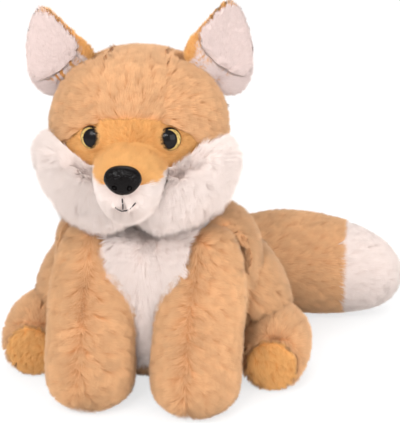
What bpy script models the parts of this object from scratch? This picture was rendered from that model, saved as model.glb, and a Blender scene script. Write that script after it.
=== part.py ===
"""A seated plush fox, modelled as its sewn pile skins over separate stuffing, in metres with +Z up.

The fox faces -Y and its own left is +X. The origin is under the middle of its seat, on the floor.
Every soft form is a cage of a few rings, smoothed by subdivision. Where two pieces move against each
other, both follow one ball or cylinder about the joint, so they stay clear through the whole range.
"""

from collections import namedtuple
from math import acos, atan2, cos, pi, radians, sin

import bmesh
import bpy
from mathutils import Matrix, Vector

# Cloth, gaps and cuts
LONG_PILE = 0.006  # backing cloth with its long pile
SHORT_PILE = 0.0025  # backing cloth with short pile
SEAM_GAP = 0.0003  # between pieces that are sewn or pressed together
STUFFING_GAP = 0.0005  # between a skin and the stuffing in it
TURN_GAP = 0.001  # between the faces of a joint
FLAT_DEPTH = 0.0005  # how deep the floor cuts the rounded underside flat
OVERRUN = 0.02  # how far a cutter runs past what it cuts
MERGE_DISTANCE = 0.000001  # on the axis of a turned piece
UNIT = 1  # of the balls and cubes that cages and boxes start from
ROUND_SIDES = 20
HEAD_BALL_SIDES = 32
LIMB_BALL_SIDES = 16
TURNED_STEPS = 16
DOME_STEPS = 5
NECK_ROOM_STEPS = 8

# Body
TORSO_WIDTH = 0.126
TORSO_DEPTH = 0.114
TORSO_HEIGHT = 0.108
NAPE_Z = 0.103  # how high the body reaches under the head
torso_ring_shares = (
    # height, width, depth, side, back
    (0.06, 0.62, 0.62, 0.0, 0.0),
    (0.24, 0.97, 0.96, 0.0, 0.02),
    (0.46, 1.00, 1.00, 0.0, 0.03),
    (0.66, 0.98, 0.94, 0.0, -0.01),
    (0.84, 0.95, 0.86, 0.0, -0.05),
    (0.95, 0.74, 0.66, 0.0, -0.06),
)
BIB_TOP_WIDTH = 0.066
BIB_BOTTOM_WIDTH = 0.034
BIB_BOTTOM_Z = 0.018
BEAN_BAG_WIDTH = 0.064
BEAN_BAG_HEIGHT = 0.022
BEAN_BAG_Z = 0.0090
BEAN_MOUTH_RADIUS = 0.012
bean_bag_ring_shares = (
    (0.15, 0.72, 0.72, 0.0, 0.0),
    (0.50, 1.00, 1.00, 0.0, 0.0),
    (0.85, 0.72, 0.72, 0.0, 0.0),
)

# Head, about the point that it turns on
HEAD_SIDE = -0.010
HEAD_BACK = -0.005
HEAD_PIVOT_Z = 0.150
HEAD_TURN = radians(4)
HEAD_BALL = 0.0638  # the underside of the head and ruff lies in this ball
HEAD_WIDTH = 0.106
HEAD_DEPTH = 0.104
HEAD_HEIGHT = 0.094
HEAD_DROP = 0.044  # from the pivot down to the chin
HEAD_BACK_SHIFT = -0.004
head_ring_shares = (
    (0.06, 0.72, 0.72, 0.0, 0.05),
    (0.22, 0.93, 0.92, 0.0, 0.02),
    (0.42, 1.00, 1.00, 0.0, 0.0),
    (0.62, 1.00, 0.99, 0.0, 0.0),
    (0.80, 0.84, 0.86, 0.0, 0.02),
    (0.93, 0.56, 0.60, 0.0, 0.03),
)
MASK_HALF_WIDTH = 0.041
MASK_HALF_HEIGHT = 0.026
MASK_RISE = -0.0025
FOREHEAD_HALF_WIDTH = 0.018
FOREHEAD_REACH = 0.010  # how far behind the pivot the forehead panel ends
FOREHEAD_HEIGHT = 0.070
CHEEK_WIDTH = 0.070
CHEEK_DEPTH = 0.066
CHEEK_HEIGHT = 0.053
CHEEK_SIDE = 0.0265
CHEEK_INSET = 0.022  # from the head's front to the middle of the ruff
CHEEK_FORWARD = HEAD_DEPTH / 2 - CHEEK_INSET
CHEEK_DROP = 0.043
cheek_ring_shares = (
    (0.08, 0.74, 0.68, 0.02, 0.0),
    (0.27, 0.97, 0.96, 0.01, 0.0),
    (0.50, 1.00, 1.00, 0.01, 0.0),
    (0.74, 0.84, 0.80, 0.05, 0.06),
    (0.93, 0.46, 0.42, 0.12, 0.12),
)

# Muzzle, nose, mouth and eyes
MUZZLE_WIDTH = 0.044
MUZZLE_HEIGHT = 0.037
MUZZLE_LENGTH = 0.052
MUZZLE_REACH = 0.0325  # from half the head's depth to the muzzle's front
MUZZLE_FRONT = HEAD_DEPTH / 2 + MUZZLE_REACH
MUZZLE_RISE = -0.009
MUZZLE_WALL = 0.003
MUZZLE_SEAM_RISE = 0.0046  # the seam between snout and chin, above the muzzle's middle
muzzle_ring_shares = (
    (0.08, 0.96, 0.96, 0.0, 0.0),
    (0.32, 1.00, 1.00, 0.0, 0.0),
    (0.58, 0.88, 0.90, 0.0, 0.0),
    (0.80, 0.72, 0.74, 0.0, 0.0),
    (0.94, 0.46, 0.46, 0.0, 0.0),
)
NOSE_WIDTH = 0.0215
NOSE_HEIGHT = 0.0165
NOSE_DEPTH = 0.0105
NOSE_REACH = 0.006  # beyond the muzzle's front
NOSE_FRONT = MUZZLE_FRONT + NOSE_REACH
NOSE_RISE = -0.0005
nose_ring_shares = (
    (0.12, 0.86, 0.86, 0.0, 0.0),
    (0.38, 1.00, 1.00, 0.0, 0.0),
    (0.66, 0.95, 0.96, 0.0, 0.0),
    (0.90, 0.70, 0.74, 0.0, 0.0),
)
SHANK_RADIUS = 0.0021
SHANK_HOLE_GAP = 0.0003
NOSE_SHANK_LENGTH = 0.016
NOSE_SHANK_DROP = 0.004  # from the nose's middle
WASHER_RADIUS = 0.0052
WASHER_THICKNESS = 0.0014
EYE_RADIUS = 0.0066
EYE_DOME = 0.0050
EYE_RIM = 0.0008
EYE_SPREAD = 0.0215
EYE_RISE = 0.0105
EYE_SHANK_LENGTH = 0.0105
EYE_WASHER_DEPTH = 0.0055
NOSE_WASHER_DEPTH = 0.0085
MOUTH_THREAD = 0.0006  # radius
MOUTH_DROP = 0.0090  # from the nose's underside to the mouth's fork
MOUTH_HALF_WIDTH = 0.0070
MOUTH_CURL = 0.0024
lip_height_shares = (0.86, 0.62, 0.40, 0.18)
smile_reach_shares = (-1, -0.66, -0.33, 0, 0.33, 0.66, 1)

# Ears, about the seam that each folds on
EAR_SEAM_SIDE = 0.0405
EAR_SEAM_BACK = 0.0080
EAR_SEAM_RISES = {"left": 0.0325, "right": 0.0305}
EAR_SEAM_SLOPE = radians(40)
EAR_OUTWARD_TURN = radians(22)
EAR_LEANS = {"left": radians(-6), "right": radians(12)}  # forwards
EAR_WIDTH = 0.0500
EAR_THICKNESS = 0.0120
EAR_HEIGHT = 0.0480
EAR_ROOT_RADIUS = 0.0068
EAR_ROOT_LENGTH = 0.0540
EAR_CUP = 0.0060
ear_ring_shares = (
    # height, width, thickness, drift towards the crown, cup
    (0.04, 0.52, 0.66, 0.00, 0.0),
    (0.14, 0.84, 1.00, 0.00, 0.1),
    (0.27, 0.94, 0.84, -0.02, 0.5),
    (0.44, 0.88, 0.60, -0.05, 1.0),
    (0.64, 0.72, 0.54, -0.10, 0.9),
    (0.84, 0.47, 0.48, -0.18, 0.5),
    (0.96, 0.24, 0.36, -0.25, 0.2),
)
LINING_THICKNESS = 0.0014
LINING_WIDTH = 0.0440
LINING_HEIGHT = 0.0340
LINING_START = 0.0066  # above the seam
lining_ring_shares = (
    (0.14, 0.92, 1.0, -0.035, 0.0),
    (0.36, 0.86, 1.0, -0.065, 0.0),
    (0.62, 0.69, 1.0, -0.120, 0.0),
    (0.84, 0.46, 1.0, -0.190, 0.0),
)

# Neck, about the upright line through the head's pivot
NECK_RADIUS = 0.0135
NECK_WALL = 0.004
NECK_FOOT_Z = 0.094
NECK_SEAT = 0.0355  # the ball about the head's pivot that the neck's top follows
NECK_ROOM_ANGLE = radians(33)

# Front legs, about the shoulder
SHOULDER_SIDE = 0.034
SHOULDER_INSET = 0.026  # behind the chest's front
SHOULDER_FORWARD = TORSO_DEPTH / 2 - SHOULDER_INSET
SHOULDER_Z = 0.080
SHOULDER_BALL = 0.0225
LEG_WIDTH = 0.0520
LEG_DEPTH = 0.0520
LEG_SIDE = 0.0310  # from the middle of the body to the middle of the paw
LEG_REACH = 0.004  # from the chest's front to the middle of the paw
LEG_FORWARD = TORSO_DEPTH / 2 + LEG_REACH
ARMHOLE_RADIUS = 0.010
leg_ring_shares = (
    (0.045, 0.74, 0.78, 0.0, -0.04),
    (0.15, 1.00, 1.02, 0.0, -0.04),
    (0.30, 1.00, 1.00, 0.0, 0.01),
    (0.48, 0.97, 0.94, 0.01, 0.16),
    (0.66, 0.98, 0.91, 0.03, 0.365),
    (0.82, 0.79, 0.70, 0.06, 0.580),
    (0.95, 0.51, 0.48, 0.06, 0.587),
)

# Haunches
HAUNCH_SIDE = 0.0540
HAUNCH_BACK = 0.0120
HAUNCH_WIDTH = 0.0520
HAUNCH_DEPTH = 0.0720
HAUNCH_HEIGHT = 0.0840
haunch_ring_shares = (
    (0.07, 0.60, 0.62, 0.0, 0.0),
    (0.25, 0.94, 0.95, 0.0, 0.0),
    (0.47, 1.00, 1.00, 0.0, 0.0),
    (0.70, 0.86, 0.86, -0.06, -0.03),
    (0.91, 0.50, 0.52, -0.14, -0.07),
)

# Hind feet, about the ankle
ANKLE_SIDE = 0.0725
FOOT_WIDTH = 0.0440
FOOT_HEIGHT = 0.0430
FOOT_LENGTH = 0.0620
FOOT_BALL = 0.0205
FOOT_BAY_BACK = 0.0023  # how far behind the ankle the haunch stays clear of the foot
foot_ring_shares = (
    (0.06, 0.52, 0.52, 0.0, 0.0),
    (0.18, 0.86, 0.86, 0.0, 0.0),
    (0.36, 1.00, 1.00, 0.0, 0.0),
    (0.62, 1.00, 1.00, 0.0, -0.01),
    (0.84, 0.90, 0.90, 0.0, -0.05),
    (0.96, 0.66, 0.66, 0.0, -0.08),
)
SOLE_FORWARD = 0.0345  # the flat front of the foot, from the ankle
SOLE_WIDTH = 0.0320
SOLE_HEIGHT = 0.0330
SOLE_THICKNESS = 0.0050
SOLE_DROP = 0.0028
sole_ring_shares = (
    (0.12, 0.84, 0.84, 0.0, 0.0),
    (0.45, 1.00, 1.00, 0.0, 0.0),
    (0.82, 0.80, 0.80, 0.0, 0.0),
)

# Tail, about the upright line through its root
TAIL_SIDE = 0.0130
TAIL_INSET = 0.005  # before the body's back
TAIL_BACK = TORSO_DEPTH / 2 - TAIL_INSET
TAIL_BALL = 0.0265
TAIL_THICKNESS = 0.0680
TAIL_REACH = 0.1330  # along X from the root line to the tail's end
TAIL_BORDER = 0.0930  # along X from the root line to the white tip's seam
tail_ring_shares = (
    # along the tail, upright, across, drop, sweep backwards
    (0.030, 0.44, 0.44, 0.0, 0.00),
    (0.095, 0.70, 0.70, 0.0, 0.00),
    (0.190, 0.80, 0.78, 0.0, 0.05),
    (0.310, 0.94, 0.91, -0.02, 0.25),
    (0.450, 1.01, 1.00, -0.03, 0.43),
    (0.580, 1.00, 1.00, -0.01, 0.49),
    (0.690, 0.97, 0.97, 0.0, 0.48),
    (0.800, 0.86, 0.86, 0.02, 0.47),
    (0.900, 0.70, 0.70, 0.04, 0.45),
    (0.965, 0.44, 0.44, 0.05, 0.43),
)

FINISHES = {
    "tan_pile": ((0.74, 0.42, 0.20), 0.95),
    "orange_pile": ((0.78, 0.34, 0.08), 0.95),
    "white_pile": ((0.86, 0.80, 0.74), 0.95),
    "lining_pile": ((0.78, 0.70, 0.70), 0.9),
    "stuffing": ((0.90, 0.90, 0.88), 1.0),
    "bean_cloth": ((0.60, 0.58, 0.54), 0.9),
    "eye_plastic": ((0.02, 0.012, 0.008), 0.08),
    "nose_plastic": ((0.012, 0.010, 0.011), 0.25),
    "washer_plastic": ((0.80, 0.80, 0.78), 0.5),
    "thread": ((0.05, 0.04, 0.04), 0.7),
}

# Which way a form's own Z points
UPRIGHT = Matrix.Identity(4)
FORWARD = Matrix.Rotation(pi / 2, 4, "X")  # own Y then points up
TO_LEFT = Matrix.Rotation(pi / 2, 4, "Y")  # own X then points down
BACKWARD = Matrix.Rotation(-pi / 2, 4, "X")

# A stuffed form: rings stacked along its own Z, from one end at its own origin to the other end
Form = namedtuple("Form", "width depth height rings sides turn")
TORSO = Form(TORSO_WIDTH, TORSO_DEPTH, TORSO_HEIGHT, torso_ring_shares, 12, UPRIGHT)
TORSO_AT = (0, 0, -FLAT_DEPTH)
HEAD = Form(HEAD_WIDTH, HEAD_DEPTH, HEAD_HEIGHT, head_ring_shares, 12, UPRIGHT)
HEAD_AT = (0, HEAD_BACK_SHIFT, -HEAD_DROP)
HEAD_PIVOT = (HEAD_SIDE, HEAD_BACK, HEAD_PIVOT_Z)
MUZZLE = Form(MUZZLE_WIDTH, MUZZLE_HEIGHT, MUZZLE_LENGTH, muzzle_ring_shares, 8, FORWARD)
MUZZLE_AT = (0, MUZZLE_LENGTH - MUZZLE_FRONT, MUZZLE_RISE)
NOSE = Form(NOSE_WIDTH, NOSE_HEIGHT, NOSE_DEPTH, nose_ring_shares, 8, FORWARD)
NOSE_AT = (0, NOSE_DEPTH - NOSE_FRONT, NOSE_RISE)
SOLE = Form(SOLE_WIDTH, SOLE_HEIGHT, SOLE_THICKNESS, sole_ring_shares, 8, FORWARD)
FOOT = Form(FOOT_WIDTH, FOOT_HEIGHT, FOOT_LENGTH, foot_ring_shares, 10, FORWARD)
TAIL = Form(TAIL_THICKNESS, TAIL_THICKNESS, TAIL_BALL + TAIL_REACH, tail_ring_shares, 10, TO_LEFT)
TAIL_AT = (-TAIL_BALL, 0, 0)
TAIL_PIVOT = (TAIL_SIDE, TAIL_BACK, TAIL_THICKNESS / 2 - FLAT_DEPTH)
LEG_HEIGHT = SHOULDER_Z + SHOULDER_BALL + FLAT_DEPTH
SIDES = (("left", 1), ("right", -1))

parts = bpy.data.collections.new("plush_fox")
cutters = bpy.data.collections.new("cutters")
finishes = {}


def clear_scene():
    for old in list(bpy.data.objects):
        bpy.data.objects.remove(old)
    bpy.context.scene.collection.children.link(parts)
    bpy.context.scene.collection.children.link(cutters)


def make_finishes():
    for name, (colour, roughness) in FINISHES.items():
        material = bpy.data.materials.new(name)
        material.use_nodes = True
        shader = material.node_tree.nodes["Principled BSDF"]
        shader.inputs["Base Color"].default_value = (*colour, 1.0)
        shader.inputs["Roughness"].default_value = roughness
        shader.inputs["Metallic"].default_value = 0.0
        finishes[name] = material


def mirrored(rings, side):
    """A left form's rings, with their sideways drift turned over for the right one."""
    return tuple((h, w, d, drift * side, last) for h, w, d, drift, last in rings)


def add_object(name, mesh, finish=None, parent=None, at=(0, 0, 0), turn=UPRIGHT):
    """Links an object. Without a finish it is a cutter, drawn as wire and left out of renders."""
    made = bpy.data.objects.new(name, mesh)
    if finish:
        mesh.materials.append(finishes[finish])
        parts.objects.link(made)
    else:
        cutters.objects.link(made)
        made.hide_render = True
        made.display_type = "WIRE"
    made.parent = parent
    made.matrix_basis = Matrix.Translation(Vector(at)) @ turn
    return made


def pivot(name, at, parent=None, turn=UPRIGHT):
    """An empty on a joint's axis, which the joint's pieces hang from."""
    empty = bpy.data.objects.new(name, None)
    parts.objects.link(empty)
    empty.parent = parent
    empty.matrix_basis = Matrix.Translation(Vector(at)) @ turn
    return empty


def mesh_from(bm, name):
    mesh = bpy.data.meshes.new(name)
    bmesh.ops.recalc_face_normals(bm, faces=bm.faces)
    bm.to_mesh(mesh)
    bm.free()
    mesh.shade_smooth()
    return mesh


def round_place(form, grown, ring_shares, around):
    """A point of an oval ring, which its drifts move sideways and backwards."""
    height_share, width_share, depth_share, side_share, back_share = ring_shares
    return (
        form.width * side_share + (form.width / 2 + grown) * width_share * cos(around),
        form.depth * back_share + (form.depth / 2 + grown) * depth_share * sin(around),
        (form.height + 2 * grown) * height_share,
    )


def cupped_place(form, grown, ring_shares, around):
    """A point of an ear's ring, whose two edges the cup brings forwards."""
    height_share, width_share, depth_share, side_share, cup_share = ring_shares
    cup = EAR_CUP * cup_share * cos(around) ** 2
    return (
        form.width * side_share + (form.width / 2 + grown) * width_share * cos(around),
        (form.depth / 2 + grown) * depth_share * sin(around) - cup,
        (form.height + 2 * grown) * height_share,
    )


def cage_mesh(name, form, grown, smoothness, place):
    """A sphere whose rings of vertices are moved to their places on the form, ends included."""
    bands = len(form.rings) + 1
    bm = bmesh.new()
    bmesh.ops.create_uvsphere(bm, u_segments=form.sides, v_segments=bands, radius=UNIT)
    drawn_in = (2 + cos(2 * pi / form.sides)) / 3  # how far subdivision draws a ring in
    reach = 1 / drawn_in if smoothness else 1
    for vertex in bm.verts:
        ring = bands - round(acos(max(-1, min(1, vertex.co.z))) / pi * bands)
        height_share, width_share, depth_share, *drifts = form.rings[min(max(ring, 1), bands - 1) - 1]
        if ring in (0, bands):
            shares = (ring / bands, 0, 0, *drifts)
        else:
            shares = (height_share, width_share * reach, depth_share * reach, *drifts)
        vertex.co = place(form, grown, shares, atan2(vertex.co.y, vertex.co.x))
    return mesh_from(bm, name)


def fit_height(made, height):
    """Stretches the cage along its own Z so that the smoothed form runs from 0 to the height."""
    shown = made.evaluated_get(bpy.context.evaluated_depsgraph_get())
    heights = [vertex.co.z for vertex in shown.to_mesh().vertices]
    shown.to_mesh_clear()
    low, high = min(heights), max(heights)
    for vertex in made.data.vertices:
        vertex.co.z = (vertex.co.z - low) / (high - low) * height


def stuffed(name, form, at, finish=None, parent=None, grown=0.0, smoothness=1, place=round_place):
    """One soft form. A grown form is the same form with its surface moved out by that much."""
    start = Vector(at) - form.turn.to_3x3() @ Vector((0, 0, grown))
    cage = cage_mesh(name, form, grown, smoothness, place)
    made = add_object(name, cage, finish, parent, start, form.turn)
    if smoothness:
        softness = made.modifiers.new("softness", "SUBSURF")
        softness.levels = smoothness
        softness.render_levels = smoothness
    fit_height(made, form.height + 2 * grown)
    return made


def combine(target, operation, tools, solver="EXACT"):
    for tool in tools:
        modifier = target.modifiers.new(tool.name, "BOOLEAN")
        modifier.operation = operation
        modifier.object = tool
        modifier.solver = solver


def cut(target, *tools):
    combine(target, "DIFFERENCE", tools)


def keep(target, *tools):
    combine(target, "INTERSECT", tools)


def cut_soft(target, *tools):
    """Cuts a curved skin, where the exact solver drops pieces of it at this or at another size."""
    combine(target, "DIFFERENCE", tools, "MANIFOLD")


def keep_soft(target, *tools):
    combine(target, "INTERSECT", tools, "MANIFOLD")


def ball(name, radius, at, parent=None, sides=HEAD_BALL_SIDES):
    bm = bmesh.new()
    bmesh.ops.create_uvsphere(bm, u_segments=sides, v_segments=sides // 2, radius=radius)
    return add_object(name, mesh_from(bm, name), None, parent, at)


def rod(name, radius, low, high, at=(0, 0, 0), parent=None, turn=UPRIGHT, oval=1.0, finish=None):
    """A cylinder along its own Z from low to high, with its own Y stretched by the oval factor."""
    bm = bmesh.new()
    bmesh.ops.create_cone(
        bm,
        cap_ends=True,
        segments=ROUND_SIDES,
        radius1=radius,
        radius2=radius,
        depth=high - low,
    )
    bmesh.ops.scale(bm, verts=bm.verts, vec=(1, oval, 1))
    bmesh.ops.translate(bm, verts=bm.verts, vec=(0, 0, (high + low) / 2))
    return add_object(name, mesh_from(bm, name), finish, parent, at, turn)


def box(name, low, high, parent=None, foot_share=1.0):
    """A box whose underside is narrowed to a share of its width."""
    bm = bmesh.new()
    bmesh.ops.create_cube(bm, size=UNIT)
    for vertex in bm.verts:
        if vertex.co.z < 0:
            vertex.co.x *= foot_share
    low, high = Vector(low), Vector(high)
    bmesh.ops.scale(bm, verts=bm.verts, vec=high - low)
    bmesh.ops.translate(bm, verts=bm.verts, vec=(high + low) / 2)
    return add_object(name, mesh_from(bm, name), None, parent)


def turned(name, profile, finish=None, parent=None, at=(0, 0, 0), turn=UPRIGHT, ring=False):
    """A solid turned about its own Z, from a profile that runs from the top down its outer side."""
    bm = bmesh.new()
    points = [bm.verts.new((radius, 0, height)) for radius, height in profile]
    for first, second in zip(points, points[1:]):
        bm.edges.new((first, second))
    if ring:
        bm.edges.new((points[-1], points[0]))
    mesh = bpy.data.meshes.new(name)
    bm.to_mesh(mesh)
    bm.free()
    made = add_object(name, mesh, finish, parent, at, turn)
    screw = made.modifiers.new("turning", "SCREW")
    screw.steps = TURNED_STEPS
    screw.render_steps = TURNED_STEPS
    screw.use_merge_vertices = True
    screw.merge_threshold = MERGE_DISTANCE
    return made


def surface_point(made, start, direction):
    """Where a ray meets an object, and the normal there, both in the frame of the object's parent."""
    shown = made.evaluated_get(bpy.context.evaluated_depsgraph_get())
    to_own = made.matrix_basis.inverted()
    own_direction = to_own.to_3x3() @ Vector(direction)
    hit, place, normal, _ = shown.ray_cast(to_own @ Vector(start), own_direction)
    if not hit:
        raise ValueError(f"no ray from {start} meets {made.name}")
    return made.matrix_basis @ place, (made.matrix_basis.to_3x3() @ normal).normalized()


def along(direction):
    """The turn that points an object's own Z along a direction."""
    return Vector(direction).to_track_quat("Z", "Y").to_matrix().to_4x4()


def socket(name, radius, at):
    """The ball that a limb's root fills, and the larger one that is cut out round it."""
    root_ball = ball(name + "_ball", radius, at, sides=LIMB_BALL_SIDES)
    return root_ball, ball(name + "_socket", radius + TURN_GAP, at, sides=LIMB_BALL_SIDES)


def torso_room(name, root_ball):
    """The space of the body that a limb stays out of, apart from its root."""
    room = stuffed(name + "_torso_room", TORSO, TORSO_AT, grown=SEAM_GAP)
    cut_soft(room, root_ball)
    return room


def make_neck(neck):
    """A short sewn tube with its stuffing, turning about the upright line through the head's pivot."""
    foot = NECK_FOOT_Z - HEAD_PIVOT_Z
    seat = ball("neck_seat", NECK_SEAT + TURN_GAP, (0, 0, 0), neck)
    skin = rod("neck_skin", NECK_RADIUS, foot, 0, parent=neck, finish="tan_pile")
    bore = rod("neck_bore", NECK_RADIUS - NECK_WALL, foot - OVERRUN, OVERRUN, parent=neck)
    cut(skin, seat, bore)
    filling_radius = NECK_RADIUS - NECK_WALL - STUFFING_GAP
    filling = rod("neck_stuffing", filling_radius, foot, 0, parent=neck, finish="stuffing")
    cut(filling, seat)


def make_body(floor, bowl, sockets, neck_room):
    """The body's skin, its white bib, the stuffing and the bean bag that weighs the seat down."""
    cavity = stuffed("torso_cavity", TORSO, TORSO_AT, grown=-LONG_PILE, smoothness=0)
    top = (BIB_TOP_WIDTH / 2, HEAD_BACK, TORSO_HEIGHT)  # its side seams end beside the neck
    low = (-BIB_TOP_WIDTH / 2, -TORSO_DEPTH, BIB_BOTTOM_Z)
    seam = Vector((SEAM_GAP, SEAM_GAP, SEAM_GAP))
    foot_share = BIB_BOTTOM_WIDTH / BIB_TOP_WIDTH
    bib_place = box("bib_place", low, top, foot_share=foot_share)
    bib_room = box("bib_room", Vector(low) - seam, Vector(top) + seam, foot_share=foot_share)

    skin = stuffed("body_skin", TORSO, TORSO_AT, "tan_pile")
    cut_soft(skin, bib_room, bowl, floor, *sockets, neck_room, cavity)
    bib = stuffed("bib", TORSO, TORSO_AT, "white_pile")
    keep_soft(bib, bib_place)
    cut_soft(bib, bowl, *sockets[:2], neck_room, cavity)

    bag = Form(BEAN_BAG_WIDTH, BEAN_BAG_WIDTH, BEAN_BAG_HEIGHT, bean_bag_ring_shares, 10, UPRIGHT)
    bag_at = (0, 0, BEAN_BAG_Z)
    stuffed("bean_bag", bag, bag_at, "bean_cloth", smoothness=0)
    bag_room = stuffed("bean_bag_room", bag, bag_at, grown=STUFFING_GAP, smoothness=0)
    mouth = rod("bean_bag_mouth", BEAN_MOUTH_RADIUS, -OVERRUN, BEAN_BAG_Z + BEAN_BAG_HEIGHT / 2)
    inset = -LONG_PILE - STUFFING_GAP
    filling = stuffed("body_stuffing", TORSO, TORSO_AT, "stuffing", grown=inset, smoothness=0)
    cut(filling, bowl, neck_room, bag_room, mouth, *sockets)


def make_front_leg(name, side, floor, root_ball):
    """A stuffed leg whose round top turns in the body's socket, with its armhole facing the body."""
    shoulder = pivot("shoulder_" + name, (side * SHOULDER_SIDE, -SHOULDER_FORWARD, SHOULDER_Z))
    form = Form(LEG_WIDTH, LEG_DEPTH, LEG_HEIGHT, mirrored(leg_ring_shares, side), 10, UPRIGHT)
    at = (
        side * (LEG_SIDE - SHOULDER_SIDE),
        SHOULDER_FORWARD - LEG_FORWARD,
        -SHOULDER_Z - FLAT_DEPTH,
    )
    room = torso_room("leg_" + name, root_ball)
    cavity = stuffed(f"leg_{name}_cavity", form, at, None, shoulder, -LONG_PILE, 0)
    armhole = rod(
        f"armhole_{name}", ARMHOLE_RADIUS, 0, SHOULDER_BALL + OVERRUN, parent=shoulder, turn=BACKWARD
    )
    skin = stuffed("front_leg_" + name, form, at, "tan_pile", shoulder)
    cut_soft(skin, room, floor, cavity, armhole)
    inset = -LONG_PILE - STUFFING_GAP
    filling = stuffed("front_leg_stuffing_" + name, form, at, "stuffing", shoulder, inset, 0)
    cut_soft(filling, room)


def make_hind_leg(name, side, floor, root_ball, root_socket):
    """The haunch, sewn to the body's side, and the foot that splays outwards from it."""
    ankle = pivot("ankle_" + name, ankle_place(side))
    haunch = Form(
        HAUNCH_WIDTH,
        HAUNCH_DEPTH,
        HAUNCH_HEIGHT,
        mirrored(haunch_ring_shares, side),
        10,
        UPRIGHT,
    )
    at = (side * HAUNCH_SIDE, HAUNCH_BACK, -FLAT_DEPTH)
    body_room = stuffed(f"haunch_{name}_body_room", TORSO, TORSO_AT, grown=SEAM_GAP)
    far = TORSO_WIDTH * side
    bay = box(
        f"foot_{name}_bay",
        (min(0, far), -TORSO_DEPTH, -OVERRUN),
        (max(0, far), FOOT_BAY_BACK, FOOT_HEIGHT + TURN_GAP),
    )
    cavity = stuffed(f"haunch_{name}_cavity", haunch, at, grown=-LONG_PILE, smoothness=0)
    skin = stuffed("haunch_" + name, haunch, at, "tan_pile")
    cut_soft(skin, root_socket, bay, body_room, floor, cavity)
    inset = -LONG_PILE - STUFFING_GAP
    filling = stuffed("haunch_stuffing_" + name, haunch, at, "stuffing", grown=inset, smoothness=0)
    cut_soft(filling, root_socket, bay, body_room)

    foot_at = (0, FOOT_BALL, 0)
    room = torso_room("foot_" + name, root_ball)
    front = box(
        f"foot_{name}_front",
        (-FOOT_WIDTH, -FOOT_LENGTH, -FOOT_HEIGHT),
        (FOOT_WIDTH, -SOLE_FORWARD, FOOT_HEIGHT),
        ankle,
    )
    foot_cavity = stuffed(f"foot_{name}_cavity", FOOT, foot_at, None, ankle, -LONG_PILE, 0)
    foot = stuffed("hind_foot_" + name, FOOT, foot_at, "tan_pile", ankle)
    cut_soft(foot, front, room, floor, foot_cavity)
    foot_filling = stuffed("hind_foot_stuffing_" + name, FOOT, foot_at, "stuffing", ankle, inset, 0)
    cut_soft(foot_filling, front, room)
    sole_at = (0, -SOLE_FORWARD - SEAM_GAP, -SOLE_DROP)
    stuffed("sole_pad_" + name, SOLE, sole_at, "orange_pile", ankle)
    return stuffed(f"haunch_{name}_room", haunch, at, grown=SEAM_GAP)


def ankle_place(side):
    return (side * ANKLE_SIDE, 0, FOOT_HEIGHT / 2 - FLAT_DEPTH)


def make_tail(floor, root_ball, haunch_room):
    """The tan sleeve and the white tip, sewn together, over one long stuffing."""
    root = pivot("tail_root", TAIL_PIVOT)
    room = torso_room("tail", root_ball)
    cavity = stuffed("tail_cavity", TAIL, TAIL_AT, None, root, -LONG_PILE, 0)
    thick = TAIL_THICKNESS
    seam_x = TAIL_BORDER + SEAM_GAP
    end_x = TAIL_REACH + thick
    beyond = box("beyond_tail_border", (TAIL_BORDER, -thick, -thick), (end_x, 2 * thick, thick), root)
    before = box("before_tail_border", (-thick, -thick, -thick), (seam_x, 2 * thick, thick), root)
    sleeve = stuffed("tail_sleeve", TAIL, TAIL_AT, "tan_pile", root)
    cut_soft(sleeve, beyond, room, haunch_room, floor, cavity)
    tip = stuffed("tail_tip", TAIL, TAIL_AT, "white_pile", root)
    cut_soft(tip, before, floor, cavity)
    filling = stuffed("tail_stuffing", TAIL, TAIL_AT, "stuffing", root, -LONG_PILE - STUFFING_GAP, 0)
    cut_soft(filling, room, haunch_room)


def make_head(head):
    """The head's skin with its panels, the ruff, the stuffing, and the face's fittings."""
    skin = stuffed("head_skin", HEAD, HEAD_AT, "tan_pile", head)
    cavity = stuffed("head_cavity", HEAD, HEAD_AT, None, head, -LONG_PILE, 0)
    neck_room = make_neck_room(head)
    recess = SHORT_PILE - LONG_PILE
    oval = MASK_HALF_HEIGHT / MASK_HALF_WIDTH
    mask_at = (0, 0, MASK_RISE)
    mask_place = rod("mask_place", MASK_HALF_WIDTH, OVERRUN, HEAD_DEPTH, mask_at, head, FORWARD, oval)
    room_radius = MASK_HALF_WIDTH + SEAM_GAP
    room_back = OVERRUN - SEAM_GAP
    mask_room = rod("mask_room", room_radius, room_back, HEAD_DEPTH, mask_at, head, FORWARD, oval)
    panel_low = (-FOREHEAD_HALF_WIDTH, -HEAD_DEPTH, 0)
    panel_top = (FOREHEAD_HALF_WIDTH, FOREHEAD_REACH, FOREHEAD_HEIGHT)
    seam = Vector((SEAM_GAP, SEAM_GAP, SEAM_GAP))
    panel_place = box("forehead_place", panel_low, panel_top, head)
    panel_room = box("forehead_room", Vector(panel_low) - seam, Vector(panel_top) + seam, head)

    cut_soft(skin, mask_room, panel_room, neck_room, cavity)
    panel = stuffed("forehead_panel", HEAD, HEAD_AT, "tan_pile", head)
    keep(panel, panel_place)
    cut(panel, mask_room, cavity)
    mask = stuffed("face_mask", HEAD, HEAD_AT, "orange_pile", head, recess)
    eye_starts = [(side * EYE_SPREAD, -HEAD_DEPTH, EYE_RISE) for _, side in SIDES]
    eye_seats = [surface_point(mask, start, (0, 1, 0)) for start in eye_starts]
    keep(mask, mask_place)
    cut(mask, cavity)
    inset = -LONG_PILE - STUFFING_GAP
    filling = stuffed("head_stuffing", HEAD, HEAD_AT, "stuffing", head, inset, 0)
    cut(filling, neck_room)
    for (name, _), (place, normal) in zip(SIDES, eye_seats):
        make_eye(name, head, place, normal, mask, filling)
    muzzle_room = make_muzzle(head, recess)
    make_ruff(head, neck_room, muzzle_room)
    return skin, filling


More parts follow.
